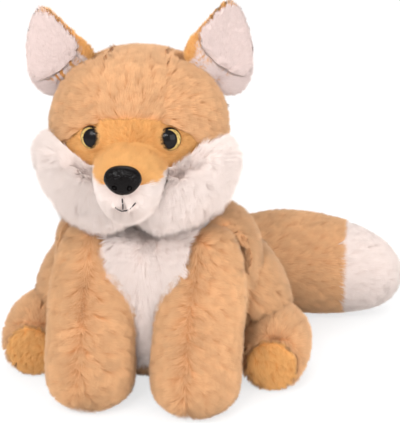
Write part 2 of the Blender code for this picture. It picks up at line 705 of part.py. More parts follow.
def make_neck_room(head):
    """The room that the neck needs under the head: a cone below a ball about the head's pivot."""
    deep = HEAD_PIVOT_Z
    angles = [NECK_ROOM_ANGLE * step / NECK_ROOM_STEPS for step in range(NECK_ROOM_STEPS + 1)]
    profile = [(NECK_SEAT * sin(angle), -NECK_SEAT * cos(angle)) for angle in angles]
    profile.append((deep * sin(NECK_ROOM_ANGLE), -deep * cos(NECK_ROOM_ANGLE)))
    profile.append((0, -deep))
    return turned("neck_room", profile, parent=head)


def make_eye(name, head, place, normal, mask, filling):
    """A domed plastic eye, whose shank goes through the mask into a washer inside."""
    turn = along(normal)
    at = place + normal * SEAM_GAP
    dome = [
        (EYE_RADIUS * sin(angle), EYE_RIM + (EYE_DOME - EYE_RIM) * cos(angle))
        for angle in (pi / 2 * step / DOME_STEPS for step in range(DOME_STEPS + 1))
    ]
    dome[0] = (0, EYE_DOME)
    end = -EYE_SHANK_LENGTH
    shank = [(EYE_RADIUS, 0), (SHANK_RADIUS, 0), (SHANK_RADIUS, end), (0, end)]
    turned("eye_" + name, dome + shank, "eye_plastic", head, at, turn)
    make_washer("eye_washer_" + name, head, at - normal * EYE_WASHER_DEPTH, turn, filling)
    hole_radius = SHANK_RADIUS + SHANK_HOLE_GAP
    hole = rod(f"eye_{name}_hole", hole_radius, end - SHANK_HOLE_GAP, OVERRUN, at, head, turn)
    cut(mask, hole)
    cut(filling, hole)


def make_washer(name, head, at, turn, filling):
    """A locking washer on a shank, in its pocket in the stuffing."""
    inner = SHANK_RADIUS + SHANK_HOLE_GAP
    half = WASHER_THICKNESS / 2
    profile = [(inner, half), (WASHER_RADIUS, half), (WASHER_RADIUS, -half), (inner, -half)]
    turned(name, profile, "washer_plastic", head, at, turn, ring=True)
    pocket_radius = WASHER_RADIUS + STUFFING_GAP
    pocket = rod(name + "_pocket", pocket_radius, -half - STUFFING_GAP, OVERRUN, at, head, turn)
    cut(filling, pocket)


def make_muzzle(head, recess):
    """The orange snout over the white chin, with the nose and the stitched mouth."""
    cavity = stuffed("muzzle_cavity", MUZZLE, MUZZLE_AT, None, head, -MUZZLE_WALL, 0)
    face_room = stuffed("muzzle_face_room", HEAD, HEAD_AT, None, head, recess + SEAM_GAP)
    nose_room = stuffed("nose_room", NOSE, NOSE_AT, None, head, SEAM_GAP)
    seam_z = MUZZLE_RISE + MUZZLE_SEAM_RISE
    side, reach = MUZZLE_WIDTH, 2 * MUZZLE_LENGTH
    below = box("below_lip_seam", (-side, -reach, -reach), (side, 0, seam_z), head)
    above = box("above_lip_seam", (-side, -reach, seam_z - SEAM_GAP), (side, 0, reach), head)
    shank_at = Vector(NOSE_AT) - Vector((0, 0, NOSE_SHANK_DROP))
    shank_low = -NOSE_SHANK_LENGTH - SHANK_HOLE_GAP
    hole = rod("nose_hole", SHANK_RADIUS + SHANK_HOLE_GAP, shank_low, OVERRUN, shank_at, head, FORWARD)
    snout = stuffed("snout_panel", MUZZLE, MUZZLE_AT, "orange_pile", head)
    cut_soft(snout, nose_room, face_room, below, cavity, hole)
    chin = stuffed("chin_panel", MUZZLE, MUZZLE_AT, "white_pile", head)
    cut_soft(chin, nose_room, face_room, above, cavity, hole)
    inset = -MUZZLE_WALL - STUFFING_GAP
    filling = stuffed("muzzle_stuffing", MUZZLE, MUZZLE_AT, "stuffing", head, inset, 0)
    cut(filling, face_room, hole)

    nose = stuffed("nose", NOSE, NOSE_AT, "nose_plastic", head)
    shank = rod("nose_shank", SHANK_RADIUS, -NOSE_SHANK_LENGTH, NOSE_DEPTH / 2, shank_at, head, FORWARD)
    combine(nose, "UNION", [shank])
    washer_at = shank_at + Vector((0, NOSE_WASHER_DEPTH, 0))
    make_washer("nose_washer", head, washer_at, FORWARD, filling)

    room = stuffed("muzzle_room", MUZZLE, MUZZLE_AT, None, head, SEAM_GAP)
    make_mouth(head, room)
    return room


def make_mouth(head, muzzle_room):
    """Two stitches of thread: one down from the nose, and the smile that it ends on."""
    fork_z = NOSE_RISE - NOSE_HEIGHT / 2 - MOUTH_DROP
    lip = [(0, fork_z + MOUTH_DROP * share) for share in lip_height_shares]
    smile = [
        (MOUTH_HALF_WIDTH * share, fork_z + MOUTH_CURL * (share**2 - abs(share) / 4))
        for share in smile_reach_shares
    ]
    for name, path in (("lip_stitch", lip), ("smile_stitch", smile)):
        curve = bpy.data.curves.new(name, "CURVE")
        curve.dimensions = "3D"
        curve.bevel_depth = MOUTH_THREAD
        curve.bevel_resolution = 1
        curve.use_fill_caps = True
        spline = curve.splines.new("POLY")
        spline.points.add(len(path) - 1)
        for point, (x, z) in zip(spline.points, path):
            place, normal = surface_point(muzzle_room, (x, -HEAD_DEPTH, z), (0, 1, 0))
            point.co = (*(place + normal * (MOUTH_THREAD + SEAM_GAP)), 1)
        add_object(name, curve, "thread", head)


def make_ruff(head, neck_room, muzzle_room):
    """The two white cheeks, which meet under the chin and wrap the head's lower front."""
    head_room = stuffed("head_room", HEAD, HEAD_AT, None, head, SEAM_GAP)
    head_ball = ball("head_ball", HEAD_BALL, (0, 0, 0), head)
    for name, side in SIDES:
        rings = mirrored(cheek_ring_shares, side)
        form = Form(CHEEK_WIDTH, CHEEK_DEPTH, CHEEK_HEIGHT, rings, 10, UPRIGHT)
        at = (side * CHEEK_SIDE, -CHEEK_FORWARD, -CHEEK_DROP)
        far = -side * HEAD_WIDTH
        edge = side * SEAM_GAP / 2
        other = box(
            f"other_side_of_{name}",
            (min(edge, far), -HEAD_DEPTH, -HEAD_HEIGHT),
            (max(edge, far), HEAD_DEPTH, HEAD_HEIGHT),
            head,
        )
        cheek = stuffed("cheek_" + name, form, at, "white_pile", head)
        keep_soft(cheek, head_ball)
        cut_soft(cheek, head_room, muzzle_room, other, neck_room)


def make_ear(name, side, head, head_skin, head_filling):
    """An ear that folds on its seam, with a smooth lining on its cupped front."""
    outwards = Matrix.Rotation(side * EAR_OUTWARD_TURN, 4, "Z")
    slope = Matrix.Rotation(side * EAR_SEAM_SLOPE, 4, "Y")
    lean = Matrix.Rotation(EAR_LEANS[name], 4, "X")
    seam_at = (side * EAR_SEAM_SIDE, EAR_SEAM_BACK, EAR_SEAM_RISES[name])
    fold = pivot("ear_fold_" + name, seam_at, head, outwards @ slope @ lean)
    form = Form(EAR_WIDTH, EAR_THICKNESS, EAR_HEIGHT, mirrored(ear_ring_shares, side), 8, UPRIGHT)
    at = (0, 0, -EAR_ROOT_RADIUS)
    stuffed("ear_" + name, form, at, "orange_pile", fold, place=cupped_place)

    back_at = (0, -SEAM_GAP, -EAR_ROOT_RADIUS)
    front_at = (0, -SEAM_GAP - LINING_THICKNESS, -EAR_ROOT_RADIUS)
    back = stuffed(f"ear_{name}_lining_back", form, back_at, None, fold, place=cupped_place)
    lining = stuffed("ear_lining_" + name, form, front_at, "lining_pile", fold, place=cupped_place)
    rings = mirrored(lining_ring_shares, side)
    outline = Form(LINING_WIDTH, 2 * EAR_HEIGHT, LINING_HEIGHT, rings, 8, UPRIGHT)
    keep(lining, stuffed(f"ear_{name}_lining_outline", outline, (0, 0, LINING_START), None, fold))
    cut(lining, back)

    groove = rod(
        f"ear_{name}_groove",
        EAR_ROOT_RADIUS + TURN_GAP,
        -EAR_ROOT_LENGTH / 2,
        EAR_ROOT_LENGTH / 2,
        parent=fold,
        turn=TO_LEFT,
    )
    cut_soft(head_skin, groove)
    cut(head_filling, groove)


def make_fox():
    reach = 2 * TORSO_WIDTH
    floor = box("floor", (-reach, -reach, -OVERRUN), (reach, reach, 0))
    bowl = ball("head_bowl", HEAD_BALL + TURN_GAP, HEAD_PIVOT)
    keep(bowl, box("above_nape", (-reach, -reach, NAPE_Z), (reach, reach, reach + NAPE_Z)))
    neck_room = rod(
        "neck_foot_room",
        NECK_RADIUS + STUFFING_GAP,
        NECK_FOOT_Z - STUFFING_GAP,
        HEAD_PIVOT_Z,
        (HEAD_SIDE, HEAD_BACK, 0),
    )
    shoulders, ankles = {}, {}
    for name, side in SIDES:
        at = (side * SHOULDER_SIDE, -SHOULDER_FORWARD, SHOULDER_Z)
        shoulders[name] = socket("shoulder_" + name, SHOULDER_BALL, at)
        ankles[name] = socket("ankle_" + name, FOOT_BALL, ankle_place(side))
    tail = socket("tail", TAIL_BALL, TAIL_PIVOT)
    sockets = [pair[1] for pair in (*shoulders.values(), *ankles.values(), tail)]
    make_body(floor, bowl, sockets, neck_room)

    haunch_rooms = {}
    for name, side in SIDES:
        make_front_leg(name, side, floor, shoulders[name][0])
        haunch_rooms[name] = make_hind_leg(name, side, floor, *ankles[name])
    make_tail(floor, tail[0], haunch_rooms["left"])

    neck = pivot("neck_pivot", HEAD_PIVOT)
    make_neck(neck)
    head = pivot("head_pivot", (0, 0, 0), neck, Matrix.Rotation(HEAD_TURN, 4, "Z"))
    head_skin, head_filling = make_head(head)
    for name, side in SIDES:
        make_ear(name, side, head, head_skin, head_filling)


clear_scene()
make_finishes()
make_fox()
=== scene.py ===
# %% [markdown]
# # A seated plush fox
#
# The fox is sewn from pile cloth: a knitted backing with fur standing on it, stuffed with fibre. The frame
# that is loaded here holds its solids, each as large as the tips of its fur reach. This lesson dresses each
# solid in two layers, as the real toy has them: the cloth, a little inside the solid, and the fur, which
# grows from the cloth out to the solid's surface. The eyes, nose and stitches are then made over theirs.

# %% The frame
from collections import namedtuple
from math import cos, pi, radians, sin

import bmesh
import bpy
import numpy as np
from mathutils import Matrix, Vector, noise
from mathutils.bvhtree import BVHTree
from mathutils.kdtree import KDTree


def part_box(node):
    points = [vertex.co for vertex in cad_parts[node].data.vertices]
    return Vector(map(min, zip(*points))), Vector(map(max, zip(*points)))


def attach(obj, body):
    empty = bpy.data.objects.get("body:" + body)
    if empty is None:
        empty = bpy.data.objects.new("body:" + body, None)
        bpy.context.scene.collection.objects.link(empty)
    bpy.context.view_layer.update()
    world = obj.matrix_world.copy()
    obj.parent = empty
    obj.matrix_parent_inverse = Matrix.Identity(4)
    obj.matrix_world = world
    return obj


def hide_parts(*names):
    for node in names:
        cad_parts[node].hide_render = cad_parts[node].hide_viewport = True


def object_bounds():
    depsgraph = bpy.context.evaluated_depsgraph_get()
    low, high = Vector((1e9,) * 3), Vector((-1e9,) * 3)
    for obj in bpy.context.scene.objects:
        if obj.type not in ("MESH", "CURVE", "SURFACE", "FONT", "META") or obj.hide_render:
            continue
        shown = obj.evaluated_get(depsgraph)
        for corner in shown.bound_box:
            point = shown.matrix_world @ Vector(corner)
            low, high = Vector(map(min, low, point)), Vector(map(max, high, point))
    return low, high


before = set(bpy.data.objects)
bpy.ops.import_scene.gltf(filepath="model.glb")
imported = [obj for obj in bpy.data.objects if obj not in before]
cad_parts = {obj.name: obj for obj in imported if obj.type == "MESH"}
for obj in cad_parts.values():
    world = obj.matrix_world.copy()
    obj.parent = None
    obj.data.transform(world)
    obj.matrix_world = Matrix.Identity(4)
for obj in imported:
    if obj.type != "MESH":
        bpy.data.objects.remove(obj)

MM = 0.001
cad_low, cad_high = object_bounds()
print("solids", [round(x / MM, 1) for x in (*cad_low, *cad_high)])

# %% [markdown]
# ## Camera, floor and light
#
# A product photograph like this one is taken with a long lens from a little above. The floor and the
# background are one white sheet. What the camera sees of the sheet is partly its own light, so it comes out
# white without more lamps on the fox, and the other part still takes the fox's shadow.

# %% Camera
CAMERA_AZIMUTH = radians(8)
CAMERA_ELEVATION = radians(21)
CAMERA_DISTANCE = 0.9
CAMERA_TARGET = Vector((0.025, 0, 0.099))
CAMERA_LENS = 127.66

camera_data = bpy.data.cameras.new("camera")
camera_data.lens = CAMERA_LENS
camera = bpy.data.objects.new("camera", camera_data)
bpy.context.scene.collection.objects.link(camera)
backwards = Vector(
    (
        sin(CAMERA_AZIMUTH) * cos(CAMERA_ELEVATION),
        -cos(CAMERA_AZIMUTH) * cos(CAMERA_ELEVATION),
        sin(CAMERA_ELEVATION),
    )
)
camera.location = CAMERA_TARGET + backwards * CAMERA_DISTANCE
camera.rotation_mode = "QUATERNION"
camera.rotation_quaternion = (-backwards).to_track_quat("-Z", "Y")
bpy.context.scene.camera = camera
bpy.context.scene.view_settings.view_transform = "Standard"

# %% Helpers for colours and shader nodes


def colour(red, green, blue):
    """A colour as a picture shows it, from 0 to 255, as the light values that a shader takes."""
    shares = [value / 255 for value in (red, green, blue)]
    return (*(s / 12.92 if s <= 0.04045 else ((s + 0.055) / 1.055) ** 2.4 for s in shares), 1.0)


def new_material(name):
    material = bpy.data.materials.new(name)
    material.use_nodes = True
    return material, material.node_tree.nodes, material.node_tree.links


def add_node(nodes, kind, **settings):
    node = nodes.new(kind)
    for name, value in settings.items():
        setattr(node, name, value)
    return node


# %% Floor and backdrop
FLOOR_SIZE = 6.0
FLOOR_DROP = 0.0001
FLOOR_GLOW = 0.7

material, nodes, links = new_material("white_sheet")
nodes["Principled BSDF"].inputs["Base Color"].default_value = (0.94, 0.94, 0.94, 1)
nodes["Principled BSDF"].inputs["Roughness"].default_value = 0.9
glow = add_node(nodes, "ShaderNodeEmission")
glow.inputs["Color"].default_value = (1, 1, 1, 1)
seen = add_node(nodes, "ShaderNodeLightPath")
share = add_node(nodes, "ShaderNodeMath", operation="MULTIPLY")
share.inputs[1].default_value = FLOOR_GLOW
mixed = add_node(nodes, "ShaderNodeMixShader")
links.new(seen.outputs["Is Camera Ray"], share.inputs[0])
links.new(share.outputs[0], mixed.inputs["Fac"])
links.new(nodes["Principled BSDF"].outputs[0], mixed.inputs[1])
links.new(glow.outputs[0], mixed.inputs[2])
links.new(mixed.outputs[0], nodes["Material Output"].inputs["Surface"])

floor_mesh = bpy.data.meshes.new("floor")
half = FLOOR_SIZE / 2
corners = [(-half, -half, 0), (half, -half, 0), (half, half, 0), (-half, half, 0)]
floor_mesh.from_pydata(corners, [], [(0, 1, 2, 3)])
floor_mesh.materials.append(material)
floor = bpy.data.objects.new("floor", floor_mesh)
floor.location.z = cad_low.z - FLOOR_DROP
bpy.context.scene.collection.objects.link(floor)

# %% World and lamps
WORLD_LIGHT = 0.9

world = bpy.data.worlds.new("studio")
world.use_nodes = True
nodes, links = world.node_tree.nodes, world.node_tree.links
seen = add_node(nodes, "ShaderNodeLightPath")
either = add_node(nodes, "ShaderNodeMath", operation="MAXIMUM")
level = add_node(nodes, "ShaderNodeMapRange")
level.inputs["To Min"].default_value = WORLD_LIGHT
level.inputs["To Max"].default_value = 1.0
links.new(seen.outputs["Is Camera Ray"], either.inputs[0])
links.new(seen.outputs["Is Transmission Ray"], either.inputs[1])
links.new(either.outputs[0], level.inputs["Value"])
links.new(level.outputs[0], nodes["Background"].inputs["Strength"])
nodes["Background"].inputs["Color"].default_value = (1, 1, 1, 1)
bpy.context.scene.world = world


def add_softbox(name, place, size, watts):
    light = bpy.data.lights.new(name, "AREA")
    light.size = size
    light.energy = watts
    lamp = bpy.data.objects.new(name, light)
    lamp.location = place
    lamp.rotation_mode = "QUATERNION"
    lamp.rotation_quaternion = (CAMERA_TARGET - Vector(place)).to_track_quat("-Z", "Y")
    bpy.context.scene.collection.objects.link(lamp)


add_softbox("key", (-0.45, -1.05, 0.95), 0.6, 10.0)
add_softbox("fill", (0.95, -0.85, 0.5), 0.8, 8.0)
add_softbox("top", (0.1, 0.5, 1.2), 0.8, 4.0)
add_softbox("catch light left", (-0.12, -1.0, 0.85), 0.08, 2.4)
add_softbox("catch light right", (0.12, -1.0, 0.85), 0.08, 2.4)

# %% [markdown]
# ## Where the fur can grow
#
# The solids are shells, so most of their faces are inside. Fur grows only on the faces that see open air.
# Rays find them: one straight out, which has to be clear for a little way, and a ring of slanted ones, of
# which some have to get well away. A cloth under another piece, a seam and a joint's socket all stay bald.

# %% The solids as arrays
RAY_START = 0.2 * MM
CLEAR_WAY = 2.0 * MM
OPEN_WAY = 22 * MM
SLANTED_RAYS = 8
OPEN_RAYS = 2
NEAR_CORNER = 0.75

Surface = namedtuple("Surface", "points triangles")


def welded(node):
    """A solid's triangles over points that are joined where they meet."""
    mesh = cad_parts[node].data
    mesh.calc_loop_triangles()
    points = np.empty(len(mesh.vertices) * 3)
    mesh.vertices.foreach_get("co", points)
    corners = np.empty(len(mesh.loop_triangles) * 3, np.int32)
    mesh.loop_triangles.foreach_get("vertices", corners)
    places, index = np.unique(np.round(points.reshape(-1, 3), 6), axis=0, return_inverse=True)
    return Surface(places, index.reshape(-1)[corners.reshape(-1, 3)])


def unit(vectors):
    return vectors / np.maximum(np.linalg.norm(vectors, axis=-1, keepdims=True), 1e-12)


def tree_of(surfaces):
    """One search tree over several surfaces."""
    starts = np.cumsum([0, *(len(s.points) for s in surfaces)])
    points = np.concatenate([s.points for s in surfaces])
    triangles = np.concatenate([s.triangles + start for s, start in zip(surfaces, starts)])
    return BVHTree.FromPolygons(points.tolist(), triangles.tolist())


surfaces = {node: welded(node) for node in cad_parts}
everything = tree_of(list(surfaces.values()))


def sees_air(place, normal):
    """Whether a point of a surface faces open air."""
    start = place + normal * RAY_START
    if everything.ray_cast(start, normal, CLEAR_WAY)[0]:
        return False
    sideways = normal.orthogonal().normalized()
    across = normal.cross(sideways)
    clear = 0
    for turn in range(SLANTED_RAYS):
        angle = 2 * pi * turn / SLANTED_RAYS
        slanted = normal + sideways * cos(angle) + across * sin(angle)
        clear += everything.ray_cast(start, slanted.normalized(), OPEN_WAY)[0] is None
    return clear >= OPEN_RAYS


def face_facts(surface):
    """Middle, normal and area of each triangle."""
    a, b, c = (surface.points[surface.triangles[:, corner]] for corner in range(3))
    cross = np.cross(b - a, c - a)
    return (a + b + c) / 3, unit(cross), np.linalg.norm(cross, axis=1) / 2


Skin = namedtuple("Skin", "points triangles normals areas outside")

# The underside of the brow stays bald, so that the crease over the mask is thin and clean.
BROWS = ("forehead_panel", "head_skin")
BROW_EDGE_NORMAL = -0.4
BROW_EDGE_BACK = -0.03


def outside_of(node):
    """The faces of a solid with a place in open air, with a smooth normal at each of their points."""
    surface = surfaces[node]
    middles, normals, areas = face_facts(surface)
    outside = np.zeros(len(middles), bool)
    corners = surface.points[surface.triangles]
    for tried in (middles, *(middles + (corners[:, corner] - middles) * NEAR_CORNER for corner in range(3))):
        for index in np.flatnonzero(~outside):
            outside[index] = sees_air(Vector(tried[index]), Vector(normals[index]))
    if node in BROWS:
        outside &= (normals[:, 2] > BROW_EDGE_NORMAL) | (middles[:, 1] > BROW_EDGE_BACK)
    smooth = np.zeros_like(surface.points)
    for corner in range(3):
        weighted = normals[outside] * areas[outside, None]
        np.add.at(smooth, surface.triangles[outside, corner], weighted)
    return Skin(surface.points, surface.triangles, unit(smooth), areas, outside)


skins = {node: outside_of(node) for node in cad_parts}
open_area = {node: skin.areas[skin.outside].sum() for node, skin in skins.items()}
print("open faces, cm2", {node: round(area * 1e4, 1) for node, area in open_area.items() if area > 1e-5})

# %% [markdown]
# ## Finishes of the cloth and fur
#
# Plush takes its colour from millions of fibres. Each looks darker at its root, where little light reaches,
# and paler at its tip. One node group paints that: the root colour is painted shade. The group reads how far
# along a strand a point is, and how pale its tuft is, and adds the soft patches that handling leaves in the
# pile.

# %% A node group for the colour of pile


def make_pile_group():
    group = bpy.data.node_groups.new("pile colour", "ShaderNodeTree")
    face = group.interface
    face.new_socket("Shaded Root", in_out="INPUT", socket_type="NodeSocketColor")
    face.new_socket("Tip", in_out="INPUT", socket_type="NodeSocketColor")
    face.new_socket("Tuft Variation", in_out="INPUT", socket_type="NodeSocketFloat")
    face.new_socket("Patch Variation", in_out="INPUT", socket_type="NodeSocketFloat")
    face.new_socket("Colour", in_out="OUTPUT", socket_type="NodeSocketColor")
    nodes, links = group.nodes, group.links
    given = nodes.new("NodeGroupInput")
    made = nodes.new("NodeGroupOutput")

    along = add_node(nodes, "ShaderNodeAttribute", attribute_name="along")
    rise = add_node(nodes, "ShaderNodeMath", operation="POWER")
    rise.inputs[1].default_value = 0.7
    # From root to tip: the root colour is painted shade of the deep pile.
    pale = add_node(nodes, "ShaderNodeMix", data_type="RGBA")
    links.new(along.outputs["Fac"], rise.inputs[0])
    links.new(rise.outputs[0], pale.inputs[0])
    links.new(given.outputs["Shaded Root"], pale.inputs[6])
    links.new(given.outputs["Tip"], pale.inputs[7])

    tint = add_node(nodes, "ShaderNodeAttribute", attribute_name="tint")
    tuft = add_node(nodes, "ShaderNodeMath", operation="MULTIPLY")
    links.new(tint.outputs["Fac"], tuft.inputs[0])
    links.new(given.outputs["Tuft Variation"], tuft.inputs[1])

    place = add_node(nodes, "ShaderNodeTexCoord")
    patches = add_node(nodes, "ShaderNodeTexNoise")
    patches.inputs["Scale"].default_value = 45.0
    patches.inputs["Detail"].default_value = 3.0
    centred = add_node(nodes, "ShaderNodeMath", operation="SUBTRACT")
    centred.inputs[1].default_value = 0.5
    patch = add_node(nodes, "ShaderNodeMath", operation="MULTIPLY")
    links.new(place.outputs["Object"], patches.inputs["Vector"])
    links.new(patches.outputs["Fac"], centred.inputs[0])
    links.new(centred.outputs[0], patch.inputs[0])
    links.new(given.outputs["Patch Variation"], patch.inputs[1])

    both = add_node(nodes, "ShaderNodeMath", operation="ADD")
    brightness = add_node(nodes, "ShaderNodeMath", operation="ADD")
    brightness.inputs[1].default_value = 1.0
    links.new(tuft.outputs[0], both.inputs[0])
    links.new(patch.outputs[0], both.inputs[1])
    links.new(both.outputs[0], brightness.inputs[0])
    shaded = add_node(nodes, "ShaderNodeHueSaturation")
    links.new(brightness.outputs[0], shaded.inputs["Value"])
    links.new(pale.outputs[2], shaded.inputs["Color"])
    links.new(shaded.outputs[0], made.inputs["Colour"])
    return group


pile_group = make_pile_group()

# %% The pile finishes


PILE_ROUGHNESS = 0.72
PILE_SHEEN = 0.1
WEAVE_SCALE = 1800.0
WEAVE_HEIGHT = 0.0003


def pile_finish(name, root, tip, tuft, patch):
    """Pile of one colour, painted darker at the root as shade. Tufts and soft patches vary its brightness by
    the two shares given.
    """
    material, nodes, links = new_material(name)
    shader = nodes["Principled BSDF"]
    made = add_node(nodes, "ShaderNodeGroup", node_tree=pile_group)
    made.inputs["Shaded Root"].default_value = root
    made.inputs["Tip"].default_value = tip
    made.inputs["Tuft Variation"].default_value = tuft
    made.inputs["Patch Variation"].default_value = patch
    links.new(made.outputs["Colour"], shader.inputs["Base Color"])
    shader.inputs["Roughness"].default_value = PILE_ROUGHNESS
    shader.inputs["Specular IOR Level"].default_value = 0.25
    shader.inputs["Sheen Weight"].default_value = PILE_SHEEN
    shader.inputs["Sheen Roughness"].default_value = 0.5
    weave = add_node(nodes, "ShaderNodeTexNoise")
    weave.inputs["Scale"].default_value = WEAVE_SCALE
    weave.inputs["Detail"].default_value = 2.0
    place = add_node(nodes, "ShaderNodeTexCoord")
    bump = add_node(nodes, "ShaderNodeBump")
    bump.inputs["Strength"].default_value = 0.25
    bump.inputs["Distance"].default_value = WEAVE_HEIGHT
    links.new(place.outputs["Object"], weave.inputs["Vector"])
    links.new(weave.outputs["Fac"], bump.inputs["Height"])
    links.new(bump.outputs["Normal"], shader.inputs["Normal"])
    return material


# The first colour of each pile is its root, darkened as painted shade; the second is its tip.
finishes = {
    "tan_pile": pile_finish("tan_pile", colour(190, 126, 76), colour(220, 172, 127), 0.14, 0.24),
    "orange_pile": pile_finish("orange_pile", colour(198, 126, 58), colour(228, 172, 107), 0.10, 0.16),
    "white_pile": pile_finish("white_pile", colour(220, 199, 190), colour(235, 220, 213), 0.03, 0.04),
    "lining_pile": pile_finish("lining_pile", colour(196, 174, 168), colour(220, 201, 196), 0.03, 0.05),
}

# %% [markdown]
# The hard pieces are glossy. A toy's safety eye is a clear dome over a painted disc: a large black pupil, a
# crescent of gold glitter on its outer side, and a dark rim. The nose is black, with the fine bumps of
# leather moulded into it.

# %% The finishes of the fittings and the insides


def textured_finish(name, tint, roughness, kind, scale, strength, shine=0.2):
    """A finish of one colour whose surface a fine texture roughens."""
    material, nodes, links = new_material(name)
    shader = nodes["Principled BSDF"]
    shader.inputs["Base Color"].default_value = tint
    shader.inputs["Roughness"].default_value = roughness
    shader.inputs["Specular IOR Level"].default_value = shine
    place = add_node(nodes, "ShaderNodeTexCoord")
    texture = add_node(nodes, kind)
    texture.inputs["Scale"].default_value = scale
    bump = add_node(nodes, "ShaderNodeBump")
    bump.inputs["Strength"].default_value = strength
    bump.inputs["Distance"].default_value = 0.25 / scale
    links.new(place.outputs["Object"], texture.inputs["Vector"])
    links.new(texture.outputs[0], bump.inputs["Height"])
    links.new(bump.outputs["Normal"], shader.inputs["Normal"])
    return material


NOISE, CELLS, WAVES = "ShaderNodeTexNoise", "ShaderNodeTexVoronoi", "ShaderNodeTexWave"
finishes["nose_plastic"] = textured_finish("nose_plastic", colour(6, 3, 3), 0.22, CELLS, 1300, 0.5, 0.1)
finishes["thread"] = textured_finish("thread", colour(62, 52, 52), 0.7, WAVES, 1500, 0.5)
finishes["washer_plastic"] = textured_finish("washer_plastic", colour(232, 232, 228), 0.4, NOISE, 600, 0.1)
finishes["stuffing"] = textured_finish("stuffing", colour(246, 246, 243), 0.95, NOISE, 700, 0.8)
finishes["bean_cloth"] = textured_finish("bean_cloth", colour(205, 198, 188), 0.9, CELLS, 1100, 0.5)

GLITTER_SHARE = 0.88


def make_eye_finish():
    """Pupil, gold glitter and rim, by how far a point is from the pupil's middle and from the eye's."""
    material, nodes, links = new_material("eye_plastic")
    shader = nodes["Principled BSDF"]
    from_middle = add_node(nodes, "ShaderNodeAttribute", attribute_name="ring")
    from_pupil = add_node(nodes, "ShaderNodeAttribute", attribute_name="pupil")
    beyond_pupil = add_node(nodes, "ShaderNodeMath", operation="GREATER_THAN")
    beyond_pupil.inputs[1].default_value = 1.0
    inside_rim = add_node(nodes, "ShaderNodeMath", operation="LESS_THAN")
    inside_rim.inputs[1].default_value = GLITTER_SHARE
    golden = add_node(nodes, "ShaderNodeMath", operation="MULTIPLY")
    links.new(from_pupil.outputs["Fac"], beyond_pupil.inputs[0])
    links.new(from_middle.outputs["Fac"], inside_rim.inputs[0])
    links.new(beyond_pupil.outputs[0], golden.inputs[0])
    links.new(inside_rim.outputs[0], golden.inputs[1])

    place = add_node(nodes, "ShaderNodeTexCoord")
    flakes = add_node(nodes, "ShaderNodeTexVoronoi")
    flakes.inputs["Scale"].default_value = 3200.0
    links.new(place.outputs["Object"], flakes.inputs["Vector"])
    split = add_node(nodes, "ShaderNodeSeparateColor")
    links.new(flakes.outputs["Color"], split.inputs[0])
    gold = add_node(nodes, "ShaderNodeMix", data_type="RGBA")
    gold.inputs[6].default_value = colour(92, 64, 26)
    gold.inputs[7].default_value = colour(214, 184, 112)
    links.new(split.outputs[0], gold.inputs[0])
    painted = add_node(nodes, "ShaderNodeMix", data_type="RGBA")
    painted.inputs[6].default_value = colour(12, 9, 9)
    links.new(golden.outputs[0], painted.inputs[0])
    links.new(gold.outputs[2], painted.inputs[7])
    links.new(painted.outputs[2], shader.inputs["Base Color"])
    shader.inputs["Roughness"].default_value = 0.3
    shader.inputs["Specular IOR Level"].default_value = 0.05
    shader.inputs["Coat Weight"].default_value = 0.2
    shader.inputs["Coat Roughness"].default_value = 0.03
    return material


finishes["eye_plastic"] = make_eye_finish()

# %% [markdown]
# ## The cloth
#
# Each cloth is its solid, with the open-air faces pushed in by the depth of the pile. That leaves the
# backing's own wall where the solid is a shell, and keeps the seams and the room at each joint as they are.

# %% Cloth pieces
# The cloth shows the pile's colour this far from root to tip, so it keeps part of the painted root shade.
CLOTH_PALENESS = 0.4


def add_piece(name, mesh, body, finish):
    piece = bpy.data.objects.new(name, mesh)
    bpy.context.scene.collection.objects.link(piece)
    mesh.materials.append(finish)
    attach(piece, body)
    return piece


def make_cloth(node, body, slot, depth):
    skin = skins[node]
    points = skin.points.copy()
    pushed = np.linalg.norm(skin.normals, axis=1) > 0.5
    points[pushed] -= skin.normals[pushed] * depth
    mesh = bpy.data.meshes.new(node + "_cloth")
    mesh.from_pydata(points.tolist(), [], skin.triangles.tolist())
    mesh.shade_smooth()
    layer = mesh.attributes.new("along", "FLOAT", "POINT")
    layer.data.foreach_set("value", np.full(len(points), CLOTH_PALENESS, np.float32))
    cloth = add_piece(node + "_cloth", mesh, body, finishes[slot])
    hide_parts(node)


# %% [markdown]
# ## The fur
#
# A hair system would be drawn only at render time, so each strand here is a real sliver of three sides that
# ends in a point. Strands start in the cloth and lean the way the pile was brushed. Neighbours gather into
# tufts, whose directions differ a little, and that is what makes partings and the soft clumps of plush.

# %% How a coat grows
MOST_STRANDS = 66000
SLIVER_SIDES = 3
SMOOTH_GAP = 0.3 * MM

